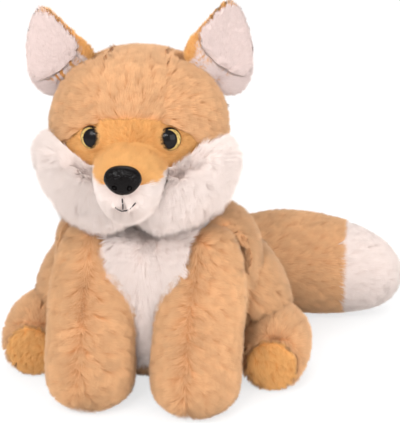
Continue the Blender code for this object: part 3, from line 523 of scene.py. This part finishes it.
Coat = namedtuple("Coat", "length depth width per_mm2 tuft swirl gather stray lift hang")
COATS = {
    "long": Coat(6.0 * MM, 4.0 * MM, 0.34 * MM, 6.5, 4.0 * MM, 0.25, 0.22, 1.0 * MM, 0.3 * MM, 0),
    "body": Coat(7.0 * MM, 4.0 * MM, 0.34 * MM, 6.0, 4.5 * MM, 0.25, 0.22, 1.2 * MM, 2.0 * MM, 0),
    "chest": Coat(7.0 * MM, 4.0 * MM, 0.34 * MM, 6.5, 4.0 * MM, 0.22, 0.15, 1.2 * MM, 2.0 * MM, 0),
    "leg": Coat(7.5 * MM, 4.0 * MM, 0.34 * MM, 6.5, 4.0 * MM, 0.25, 0.22, 1.0 * MM, 0.3 * MM, 0),
    "ruff": Coat(10.0 * MM, 5.0 * MM, 0.36 * MM, 6.5, 5.0 * MM, 0.25, 0.15, 1.8 * MM, 1.5 * MM, 9 * MM),
    "tail": Coat(7.5 * MM, 4.0 * MM, 0.34 * MM, 6.0, 4.0 * MM, 0.25, 0.20, 1.0 * MM, 0, 0),
    "mask": Coat(4.2 * MM, 1.4 * MM, 0.26 * MM, 11.0, 2.5 * MM, 0.18, 0.15, 0.5 * MM, 0.3 * MM, 0),
    "lid": Coat(6.4 * MM, 1.4 * MM, 0.26 * MM, 16.0, 2.5 * MM, 0.10, 0.10, 0.4 * MM, 3.6 * MM, 0),
    "snout": Coat(7.5 * MM, 1.8 * MM, 0.26 * MM, 12.0, 2.5 * MM, 0.18, 0.12, 0.7 * MM, 0.3 * MM, 0),
    "chin": Coat(8.5 * MM, 1.8 * MM, 0.28 * MM, 11.0, 2.5 * MM, 0.18, 0.12, 0.5 * MM, 0, 11 * MM),
    "beard": Coat(13 * MM, 1.8 * MM, 0.32 * MM, 14.0, 3.0 * MM, 0.15, 0.10, 1.2 * MM, 1.0 * MM, 6 * MM),
    "foot": Coat(7.0 * MM, 4.0 * MM, 0.34 * MM, 6.5, 4.0 * MM, 0.25, 0.22, 1.0 * MM, 0.5 * MM, 0),
    "pad": Coat(4.6 * MM, 1.4 * MM, 0.28 * MM, 9.0, 2.5 * MM, 0.40, 0.25, 1.0 * MM, 0.8 * MM, 0),
    "ear": Coat(3.4 * MM, 1.4 * MM, 0.28 * MM, 9.0, 3.0 * MM, 0.25, 0.20, 0.5 * MM, 0, 0),
    "ear_front": Coat(4.8 * MM, 1.4 * MM, 0.34 * MM, 14.0, 3.0 * MM, 0.12, 0.10, 0.5 * MM, 0.3 * MM, 0),
    "lining": Coat(3.6 * MM, 0.5 * MM, 0.28 * MM, 9.0, 3.0 * MM, 0.25, 0.18, 0.7 * MM, 0, 0),
}


def away_from(x, y, z):
    """A field that points away from one place."""
    return lambda places: unit(places - np.array((x, y, z)))


def towards(x, y, z):
    """A field that points one way everywhere."""
    return lambda places: np.broadcast_to(np.array((x, y, z), float), places.shape)


PARTING_WIDTH = 2 * MM


def parted_at(x):
    """A field that points sideways, away from an upright seam."""

    def sideways(places):
        share = np.tanh((places[:, 0] - x) / PARTING_WIDTH)
        none = np.zeros(len(places))
        return np.stack([share, none, none], 1)

    return sideways


def faded(line, none, full, field):
    """A field that grows from nothing at one place along an axis to its full strength at another."""

    def weakened(places):
        share = np.clip((places[:, line] - none) / (full - none), 0, 1)
        return field(places) * share[:, None]

    return weakened


def pick_roots(node, per_m2, random):
    """Random places on a solid's open faces, with their smooth normals."""
    skin = skins[node]
    chances = np.where(skin.outside, skin.areas, 0)
    count = int(chances.sum() * per_m2)
    picked = random.choice(len(chances), count, p=chances / chances.sum())
    shares = np.sqrt(random.random(count)), random.random(count)
    weights = np.stack([1 - shares[0], shares[0] * (1 - shares[1]), shares[0] * shares[1]], 1)
    corners = skin.triangles[picked]
    places = (skin.points[corners] * weights[:, :, None]).sum(1)
    normals = unit((skin.normals[corners] * weights[:, :, None]).sum(1))
    starts = (places + normals * RAY_START).tolist()
    clear = [everything.ray_cast(s, n, CLEAR_WAY)[0] is None for s, n in zip(starts, normals.tolist())]
    return places[clear], normals[clear]


def tuft_of(places, centres):
    """Which tuft centre each root is nearest to."""
    tree = KDTree(len(centres))
    for index, centre in enumerate(centres):
        tree.insert(centre, index)
    tree.balance()
    return np.array([tree.find(place)[1] for place in places])


def kept_clear(starts, ends, normals):
    """The strands' ends, and which way they face. One that meets another surface lies over that surface."""
    ways = ends - starts
    lengths = np.linalg.norm(ways, axis=1)
    clear, facing = ends.copy(), normals.copy()
    for index, (start, way, length) in enumerate(zip(starts.tolist(), ways.tolist(), lengths.tolist())):
        place, normal, _, distance = everything.ray_cast(start, way, length)
        if not place:
            continue
        left_over = Vector(way) * (1 - distance / length)
        if left_over.dot(normal) < 0:
            clear[index] = place + left_over - normal * left_over.dot(normal) + normal * SMOOTH_GAP
            facing[index] = normal
        else:
            clear[index] = place
    return clear, facing


# %% [markdown]
# A strand thinner than a pixel looks noisy when each of its sides is lit on its own. Its shading normals
# are therefore mostly those of the cloth below it, so that a coat catches the light as one soft surface.

# %% Slivers as one mesh
OWN_ROUNDNESS = 0.35
CELL_MARGIN = 0.08


def sliver_mesh(name, roots, tips, normals, facing, widths, tints):
    """A mesh of three-sided slivers, each with its own cell of the texture map."""
    count = len(roots)
    axes = unit(tips - roots)
    across = unit(np.cross(axes, normals))
    upwards = np.cross(axes, across)
    points = np.empty((count, SLIVER_SIDES + 1, 3))
    own = np.zeros((count, SLIVER_SIDES + 1, 3))
    for side in range(SLIVER_SIDES):
        angle = 2 * pi * side / SLIVER_SIDES
        own[:, side] = across * cos(angle) + upwards * sin(angle)
        points[:, side] = roots + own[:, side] * widths[:, None] / 2
    points[:, SLIVER_SIDES] = tips

    first = np.arange(count)[:, None, None] * (SLIVER_SIDES + 1)
    pattern = np.array([(s, (s + 1) % SLIVER_SIDES, SLIVER_SIDES) for s in range(SLIVER_SIDES)])
    corners = (first + pattern).reshape(-1)

    mesh = bpy.data.meshes.new(name)
    mesh.vertices.add(count * (SLIVER_SIDES + 1))
    mesh.vertices.foreach_set("co", points.astype(np.float32).ravel())
    mesh.loops.add(len(corners))
    mesh.loops.foreach_set("vertex_index", corners.astype(np.int32))
    mesh.polygons.add(len(corners) // 3)
    mesh.polygons.foreach_set("loop_start", np.arange(0, len(corners), 3, dtype=np.int32))
    mesh.update(calc_edges=True)
    mesh.shade_smooth()

    along = np.tile(np.append(np.zeros(SLIVER_SIDES), 1.0), count)
    for label, values in (("along", along), ("tint", np.repeat(tints, SLIVER_SIDES + 1))):
        layer = mesh.attributes.new(label, "FLOAT", "POINT")
        layer.data.foreach_set("value", values.astype(np.float32))

    cells = int(np.ceil(np.sqrt(count)))
    cell = np.stack([np.arange(count) % cells, np.arange(count) // cells], 1)[:, None, None, :]
    corner_shares = np.array([[(s / 3, 0), ((s + 1) / 3, 0), ((s + 0.5) / 3, 1)] for s in range(3)])
    uv = (cell + CELL_MARGIN + corner_shares * (1 - 2 * CELL_MARGIN)) / cells
    mesh.uv_layers.new(name="OFBake").data.foreach_set("uv", uv.astype(np.float32).ravel())

    cloth = np.repeat(normals[:, None], SLIVER_SIDES + 1, axis=1)
    cloth[:, SLIVER_SIDES] = unit(normals + facing)
    shown = unit(cloth * (1 - OWN_ROUNDNESS) + own * OWN_ROUNDNESS)
    mesh.normals_split_custom_set_from_vertices(shown.reshape(-1, 3).tolist())
    return mesh


# %% [markdown]
# Where the pile has no way to lie, as along a parting, its strands stand up. On an undersurface they hang.
# Close to the mouth the pile is clipped short, so that the stitches show.

# %% Growing the coat of one solid
UPRIGHT_SHARE = 0.35
MOUTH = np.array((-0.005, -0.088, 0.137))
MOUTH_REACH = 7 * MM
SHORTEST_CLIP = 0.3
LEAST_TUFTS = 8
STRAND_SWIRL = 0.2
LENGTH_RANGE = (0.75, 1.1)
HANG_RANGE = (0.5, 1)
GATHER_RANGE = (0.4, 1.4)
WIDTH_RANGE = (0.7, 1.3)
TUFT_TINT = 0.6
STRAND_TINT = 0.4


def grow(node, dress, seed, chosen=None, label="fur"):
    """Grows a solid's fur, or that of the places that a test chooses, in as many pieces as it needs."""
    coat = COATS[dress.coat]
    random = np.random.default_rng(seed)
    thinned = 1.0
    places, normals = pick_roots(node, coat.per_mm2 * 1e6 * thinned, random)
    if chosen:
        picked = chosen(places)
        places, normals = places[picked], normals[picked]
    count = len(places)

    lean = sum(weight * field(places) for weight, field in dress.flow)
    lean -= normals * (lean * normals).sum(1, keepdims=True)
    strength = np.minimum(np.linalg.norm(lean, axis=1, keepdims=True), 1)
    lean = unit(lean) * strength
    tufts = max(LEAST_TUFTS, int(open_area[node] / coat.tuft**2))
    centres = random.choice(count, min(tufts, count), replace=False)
    tuft = tuft_of(places.tolist(), places[centres].tolist())
    swirl = random.normal(0, coat.swirl, len(centres))[tuft] + random.normal(0, STRAND_SWIRL, count)
    lean = lean * np.cos(swirl)[:, None] + np.cross(normals, lean) * np.sin(swirl)[:, None]

    clipped = np.clip(np.linalg.norm(places - MOUTH, axis=1) / MOUTH_REACH, SHORTEST_CLIP, 1)
    lengths = coat.length * random.uniform(*LENGTH_RANGE, count) * clipped
    lifts = random.normal(0, coat.stray / 2, count) + coat.lift * clipped
    lifts += lengths * UPRIGHT_SHARE * (1 - strength[:, 0])
    tips = places + lean * lengths[:, None] + normals * lifts[:, None]
    tips[:, 2] -= coat.hang * clipped * np.clip(-normals[:, 2], 0, 1) * random.uniform(*HANG_RANGE, count)
    gather = coat.gather * random.uniform(*GATHER_RANGE, count)[:, None]
    tips = tips * (1 - gather) + tips[centres][tuft] * gather
    tips, facing = kept_clear(places + normals * SMOOTH_GAP, tips, normals)
    tips[:, 2] = np.maximum(tips[:, 2], cad_low.z + SMOOTH_GAP)
    roots = places - normals * coat.depth
    widths = coat.width * random.uniform(*WIDTH_RANGE, count) / np.sqrt(thinned)
    tuft_tints = random.uniform(-1, 1, len(centres))[tuft]
    tints = TUFT_TINT * tuft_tints + STRAND_TINT * random.uniform(-1, 1, count)

    for start in range(0, count, MOST_STRANDS):
        part = slice(start, start + MOST_STRANDS)
        name = f"{node}_{label}_{start // MOST_STRANDS + 1}"
        facts = (values[part] for values in (roots, tips, normals, facing, widths, tints))
        mesh = sliver_mesh(name, *facts)
        add_piece(name, mesh, dress.body, finishes[dress.slot])
    print(node, dress.slot, count, "strands in", len(centres), "tufts")


# %% [markdown]
# ## Dressing each solid
#
# The pile is brushed away from the nose on the head, down the chest, sideways from the seam that runs down
# each front leg, out along the tail, and up each ear. A cloth on a joint rides on its own body.

# %% Which way the pile lies
NOSE_TIP = (-0.005, -0.092, 0.147)
BROW = (-0.007, -0.075, 0.155)
TAIL_ROOT = (0.013, 0.040, 0.036)
DOWN = towards(0, 0, -1)
UP = towards(0, 0, 1)
BACK = towards(0, 1, 0)
BELLY = (0, 0, 0.06)
BIB_PARTING_X = -0.003
LEG_SEAM_SPREAD = 0.031
LEG_SEAM_SHIFT = -0.004
LEG_TOP_HEIGHTS = (0.065, 0.1)
FOOT_FADE = (-0.036, -0.018)
CHEEK_FADE = (-0.058, -0.040)
ALONG, UPRIGHT = 1, 2
FROM_THE_MUZZLE = faded(ALONG, *CHEEK_FADE, away_from(*NOSE_TIP))

Dressing = namedtuple("Dressing", "body slot coat fill flow")
DRESSINGS = {
    "body_skin": Dressing("torso", "tan_pile", "body", 0.8, [(1.0, DOWN), (0.4, away_from(*BELLY))]),
    "bib": Dressing("torso", "white_pile", "chest", 0.8, [(1.0, DOWN), (0.4, parted_at(BIB_PARTING_X))]),
    "neck_skin": Dressing("neck", "tan_pile", "ear", 0.7, [(1.0, DOWN)]),
    "head_skin": Dressing("head", "tan_pile", "long", 0.9, [(0.7, away_from(*BROW)), (0.7, DOWN)]),
    "forehead_panel": Dressing("head", "tan_pile", "long", 0.9, [(1.0, away_from(*BROW))]),
    "face_mask": Dressing("head", "orange_pile", "mask", 0.9, [(1.0, away_from(*NOSE_TIP))]),
    "snout_panel": Dressing("head", "orange_pile", "snout", 0.8, [(1.0, away_from(*NOSE_TIP))]),
    "chin_panel": Dressing("head", "white_pile", "chin", 0.8, [(1.0, away_from(*NOSE_TIP))]),
    "tail_sleeve": Dressing("tail", "tan_pile", "tail", 0.6, [(1.0, away_from(*TAIL_ROOT))]),
    "tail_tip": Dressing("tail", "white_pile", "tail", 0.6, [(1.0, away_from(*TAIL_ROOT))]),
}
for side, sign in (("left", 1), ("right", -1)):
    seam_x = sign * LEG_SEAM_SPREAD + LEG_SEAM_SHIFT
    DRESSINGS["cheek_" + side] = Dressing(
        "head", "white_pile", "ruff", 0.7, [(1.0, FROM_THE_MUZZLE), (0.5, DOWN)]
    )
    DRESSINGS["front_leg_" + side] = Dressing(
        f"{side}_front_leg",
        "tan_pile",
        "leg",
        0.7,
        [(1.0, parted_at(seam_x)), (0.5, DOWN), (1.0, faded(UPRIGHT, *LEG_TOP_HEIGHTS, DOWN))],
    )
    DRESSINGS["haunch_" + side] = Dressing(
        "torso", "tan_pile", "body", 0.7, [(0.8, DOWN), (0.6, towards(sign, 0, 0))]
    )
    DRESSINGS["hind_foot_" + side] = Dressing(
        f"{side}_hind_foot", "tan_pile", "foot", 0.7, [(1.0, faded(ALONG, *FOOT_FADE, BACK)), (0.5, DOWN)]
    )
    DRESSINGS["sole_pad_" + side] = Dressing(
        f"{side}_hind_foot", "orange_pile", "pad", 0.6, [(0.7, DOWN), (0.3, towards(sign, 0, 0))]
    )
    ear_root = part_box("ear_lining_" + side)
    ear_foot = ((ear_root[0][0] + ear_root[1][0]) / 2, ear_root[0][1], ear_root[0][2])
    outwards = [(1.0, away_from(*ear_foot)), (0.4, UP)]
    DRESSINGS["ear_" + side] = Dressing(f"{side}_ear", "orange_pile", "ear", 0.5, outwards)
    DRESSINGS["ear_lining_" + side] = Dressing(f"{side}_ear", "lining_pile", "lining", 0.3, outwards)

# %% [markdown]
# The pale pile of an ear's lining runs on to the ear's outer edge and down to the head. The orange pile of
# the ear's back comes round only along its inner edge and its tip.

# %% Which places of an ear are pale
TO_INNER_EDGE = {"ear_left": np.array((-0.86, 0, 0.5)), "ear_right": np.array((0.86, 0, 0.5))}
ORANGE_SHARE = 0.25
EAR_EDGE = 5 * MM


def in_front(ear):
    """Two tests for a place of an ear: whether its pile is the lining's, and whether it is the back's."""
    lining = skins[ear.replace("ear", "ear_lining")]
    middles, normals, areas = (facts[lining.outside] for facts in face_facts(lining))
    facing = unit((normals * areas[:, None]).sum(0))
    tree = KDTree(len(middles))
    for index, middle in enumerate(middles.tolist()):
        tree.insert(middle, index)
    tree.balance()
    centre = middles.mean(0)

    def is_pale(places):
        beside = places - np.array([tree.find(place)[0] for place in places.tolist()])
        before = (places - centre) @ facing > -EAR_EDGE
        inner = beside @ TO_INNER_EDGE[ear] > ORANGE_SHARE * np.linalg.norm(beside, axis=1)
        return before & ~inner

    return is_pale, lambda places: ~is_pale(places)


# %% Cloth and fur for every solid
LEAST_OPEN_AREA = 20 * MM**2

for number, (node, dress) in enumerate(sorted(DRESSINGS.items())):
    make_cloth(node, dress.body, dress.slot, COATS[dress.coat].depth)
    if node in TO_INNER_EDGE:
        lined, backed = in_front(node)
        grow(node, dress._replace(slot="lining_pile", coat="ear_front"), number, lined, "front_fur")
        grow(node, dress, number, backed, "back_fur")
    elif open_area[node] > LEAST_OPEN_AREA:
        grow(node, dress, number)

# %% [markdown]
# The mask's pile stands over the lower, inner side of each eye, and works like a lid there.

# %% The pile over the eyes
LID_START = 3.5 * MM
LID_REACH = 10 * MM

for side, sign in (("left", 1), ("right", -1)):
    eye_low, eye_high = (np.array(corner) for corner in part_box("eye_" + side))
    eye_middle = (eye_low + eye_high) / 2
    opening = unit(np.array((sign * 0.75, 0, 0.65)))

    def beside_the_eye(places, eye_middle=eye_middle, opening=opening):
        off = (places - eye_middle) * (1, 0, 1)
        return (-off @ opening > LID_START) & (np.linalg.norm(off, axis=1) < LID_REACH)

    lid = Dressing("head", "orange_pile", "lid", 0.9, [(1.0, towards(*opening))])
    grow("face_mask", lid, 90 + sign, beside_the_eye, "lid_" + side)

# %% [markdown]
# Longer pile hangs from the lower rim of the chin.

# %% The pile under the chin
CHIN_RIM = 7 * MM

chin_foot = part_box("chin_panel")[0][2]
beard = Dressing("head", "white_pile", "beard", 0.8, [(1.0, DOWN), (0.2, BACK)])
grow("chin_panel", beard, 95, lambda places: places[:, 2] < chin_foot + CHIN_RIM, "under_fur")

# %% [markdown]
# ## Eyes, nose and stitches
#
# The eyes are turned forms, made here with many more steps than their solids have. Their places and axes
# come from the solids: a turned solid is the same all round its axis, so the axis is the one direction in
# which its points spread differently from the other two.

# %% Turned forms
TURNED_STEPS = 48
SHARP_EDGE = radians(35)


def turned_mesh(name, profile, base, axis):
    """A mesh turned about an axis, with each point's distance from it as a share of the widest."""
    axis = Vector(axis).normalized()
    first = axis.orthogonal().normalized()
    second = axis.cross(first)
    bm = bmesh.new()
    rings = []
    for radius, height in profile:
        angles = [2 * pi * step / TURNED_STEPS for step in range(TURNED_STEPS)]
        middle = Vector(base) + axis * height
        if radius:
            rings.append([bm.verts.new(middle + (first * cos(a) + second * sin(a)) * radius) for a in angles])
        else:
            rings.append([bm.verts.new(middle)] * TURNED_STEPS)
    for upper, lower in zip(rings, rings[1:]):
        for step in range(TURNED_STEPS):
            after = (step + 1) % TURNED_STEPS
            corners = dict.fromkeys((upper[step], lower[step], lower[after], upper[after]))
            bm.faces.new(corners)
    bmesh.ops.recalc_face_normals(bm, faces=bm.faces)
    mesh = bpy.data.meshes.new(name)
    bm.to_mesh(mesh)
    bm.free()
    widest = max(radius for radius, _ in profile)
    layer = mesh.attributes.new("ring", "FLOAT", "POINT")
    for vertex, item in zip(mesh.vertices, layer.data):
        out = vertex.co - Vector(base)
        item.value = (out - axis * out.dot(axis)).length / widest
    mesh.shade_smooth()
    mesh.set_sharp_from_angle(angle=SHARP_EDGE)
    return mesh


# %% The eyes
EYE_RADIUS = 6.6 * MM
EYE_DOME = 5.0 * MM
EYE_RIM = 0.8 * MM
EYE_SHANK_RADIUS = 2.1 * MM
EYE_SHANK_LENGTH = 10.5 * MM
DOME_STEPS = 14
PUPIL_SHIFT = 1.6 * MM
PUPIL_HALF_WIDTH = 4.8 * MM
PUPIL_HALF_HEIGHT = 5.5 * MM

for side in ("left", "right"):
    points = surfaces["eye_" + side].points
    middle = points.mean(0)
    spreads, directions = np.linalg.eigh(np.cov((points - middle).T))
    apart = [np.delete(np.abs(spreads - spread), index).min() for index, spread in enumerate(spreads)]
    axis = directions[:, int(np.argmax(apart))]
    axis = axis if axis[1] < 0 else -axis
    base = middle + axis * (((points - middle) @ axis).max() - EYE_DOME)
    profile = [
        (EYE_RADIUS * sin(angle), EYE_RIM + (EYE_DOME - EYE_RIM) * cos(angle))
        for angle in (pi / 2 * step / DOME_STEPS for step in range(DOME_STEPS + 1))
    ]
    profile += [(EYE_RADIUS, 0), (EYE_SHANK_RADIUS, 0)]
    profile += [(EYE_SHANK_RADIUS, -EYE_SHANK_LENGTH), (0, -EYE_SHANK_LENGTH)]
    mesh = turned_mesh(f"eye_{side}_dome", profile, base, axis)
    inwards = Vector((-1 if side == "left" else 1, 0, 0))
    inwards = (inwards - Vector(axis) * inwards.dot(axis)).normalized()
    layer = mesh.attributes.new("pupil", "FLOAT", "POINT")
    for vertex, item in zip(mesh.vertices, layer.data):
        out = vertex.co - Vector(base) - inwards * PUPIL_SHIFT
        out -= Vector(axis) * out.dot(axis)
        aside = out.dot(inwards)
        above = (out - inwards * aside).length
        item.value = Vector((aside / PUPIL_HALF_WIDTH, above / PUPIL_HALF_HEIGHT)).length
    eye = add_piece(f"eye_{side}_dome", mesh, "head", finishes["eye_plastic"])
    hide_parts("eye_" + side)
    print("eye", side, "axis", np.round(axis, 3))

# %% [markdown]
# The nose is a moulded knob with a grained surface. It narrows downwards, and two nostrils are pressed into
# its lower half.

# %% The nose
NOSE_HALF_SIZES = np.array((10.3, 5.3, 8.1)) * MM
NOSE_SIDES = 220
NOSE_NARROWING = 0.3
NOSTRIL_SPREAD = 4.0 * MM
NOSTRIL_DROP = 2.8 * MM
NOSTRIL_RADIUS = 1.6 * MM
NOSTRIL_DEPTH = 1.6 * MM
NOSE_SQUARENESS = 0.84
GRAIN_SIZE = 0.85 * MM
GRAIN_HEIGHT = 0.24 * MM
HEAD_TURN = radians(4)
NOSE_SHANK_LENGTH = 16 * MM

nose_low, nose_high = (np.array(corner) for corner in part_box("nose"))
nose_middle = (nose_low + nose_high) / 2
nose_middle[1] = nose_low[1] + NOSE_HALF_SIZES[1]
bm = bmesh.new()
bmesh.ops.create_uvsphere(bm, u_segments=NOSE_SIDES, v_segments=NOSE_SIDES // 2, radius=1)
for vertex in bm.verts:
    x, y, z = (np.sign(value) * abs(value) ** NOSE_SQUARENESS for value in vertex.co)
    x *= 1 - NOSE_NARROWING * max(0, -z)
    place = Vector((x * NOSE_HALF_SIZES[0], y * NOSE_HALF_SIZES[1], z * NOSE_HALF_SIZES[2]))
    if place.y < 0:
        off = Vector((abs(place.x) - NOSTRIL_SPREAD, place.z + NOSTRIL_DROP)).length
        place.y += NOSTRIL_DEPTH * max(0, 1 - (off / NOSTRIL_RADIUS) ** 2)
        place.y += GRAIN_HEIGHT * noise.noise(place / GRAIN_SIZE)
    vertex.co = Matrix.Rotation(HEAD_TURN, 3, "Z") @ place + Vector(nose_middle)
mesh = bpy.data.meshes.new("nose_knob")
bm.to_mesh(mesh)
bm.free()
mesh.shade_smooth()
nose = add_piece("nose_knob", mesh, "head", finishes["nose_plastic"])
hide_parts("nose")

shank_axis = Matrix.Rotation(HEAD_TURN, 3, "Z") @ Vector((0, 1, 0))
shank_profile = [(EYE_SHANK_RADIUS, 0), (EYE_SHANK_RADIUS, NOSE_SHANK_LENGTH), (0, NOSE_SHANK_LENGTH)]
mesh = turned_mesh("nose_shank", shank_profile, nose_middle, shank_axis)
add_piece("nose_shank", mesh, "head", finishes["nose_plastic"])

# %% [markdown]
# ## What is inside, and the small pieces
#
# The fillings are lumps of fibre, so their surfaces are uneven. The washers keep their solids' own form,
# with a finish of their own.

# %% Fillings and bean bag
LUMP_SIZE = 6 * MM
LUMP_HEIGHT = 0.35 * MM
FILLINGS = {
    "body_stuffing": "torso",
    "haunch_stuffing_left": "torso",
    "haunch_stuffing_right": "torso",
    "neck_stuffing": "neck",
    "head_stuffing": "head",
    "muzzle_stuffing": "head",
    "front_leg_stuffing_left": "left_front_leg",
    "front_leg_stuffing_right": "right_front_leg",
    "hind_foot_stuffing_left": "left_hind_foot",
    "hind_foot_stuffing_right": "right_hind_foot",
    "tail_stuffing": "tail",
    "bean_bag": "torso",
}

for node, body in FILLINGS.items():
    bm = bmesh.new()
    lump = bpy.data.meshes.new(node + "_lumps")
    lump.from_pydata(surfaces[node].points.tolist(), [], surfaces[node].triangles.tolist())
    bm.from_mesh(lump)
    bmesh.ops.subdivide_edges(bm, edges=bm.edges, cuts=2, use_grid_fill=True)
    bm.normal_update()
    for vertex in bm.verts:
        rise = sum(sin(value / LUMP_SIZE * 2 * pi) for value in vertex.co) / 3
        vertex.co += vertex.normal * LUMP_HEIGHT * rise
    bm.to_mesh(lump)
    bm.free()
    lump.shade_smooth()
    slot = "bean_cloth" if node == "bean_bag" else "stuffing"
    piece = add_piece(node + "_lumps", lump, body, finishes[slot])
    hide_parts(node)

# %% Washers
for node in ("eye_washer_left", "eye_washer_right", "nose_washer"):
    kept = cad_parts[node]
    kept.data.materials.clear()
    kept.data.materials.append(finishes["washer_plastic"])

# %% [markdown]
# The mouth is a few stitches of dark thread: two short ones under the nose, and a curve that ends higher on
# the fox's own left. Their places are those in the picture, carried along the camera's rays to the chin.

# %% The mouth
PICTURE_WIDTH, PICTURE_HEIGHT = 400, 423
PIXELS_PER_SLOPE = CAMERA_LENS / camera_data.sensor_width * PICTURE_HEIGHT
THREAD_RADIUS = 0.4 * MM
THREAD_LIFT = 1.0 * MM
THREAD_SIDES = 8
STITCHES = {
    "lip_stitch": [[(122.6, 198), (122.8, 202)], [(123.0, 203), (123.2, 207.5)]],
    "smile_stitch": [[(116, 206), (118.5, 208), (122, 209.4), (126, 209), (130.5, 206.8), (135, 202)]],
}
chin_tree = tree_of([surfaces["chin_panel"]])
camera_turn = camera.rotation_quaternion.to_matrix()


def on_chin(across, down):
    """Where the camera's ray through a place of the picture meets the chin."""
    aside, above = across - PICTURE_WIDTH / 2, PICTURE_HEIGHT / 2 - down
    way = camera_turn @ Vector((aside / PIXELS_PER_SLOPE, above / PIXELS_PER_SLOPE, -1))
    place, normal, _, _ = chin_tree.ray_cast(camera.location, way)
    return place + normal * THREAD_LIFT


for node, stitches in STITCHES.items():
    curve = bpy.data.curves.new(node + "_path", "CURVE")
    curve.dimensions = "3D"
    curve.bevel_depth = THREAD_RADIUS
    curve.bevel_resolution = THREAD_SIDES // 4
    curve.use_fill_caps = True
    for stitch in stitches:
        spline = curve.splines.new("POLY")
        spline.points.add(len(stitch) - 1)
        for point, place in zip(spline.points, stitch):
            point.co = (*on_chin(*place), 1)
    path = bpy.data.objects.new(node + "_path", curve)
    mesh = bpy.data.meshes.new_from_object(path)
    bpy.data.objects.remove(path)
    mesh.name = node + "_thread"
    mesh.shade_smooth()
    thread = add_piece(node + "_thread", mesh, "head", finishes["thread"])
    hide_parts(node)
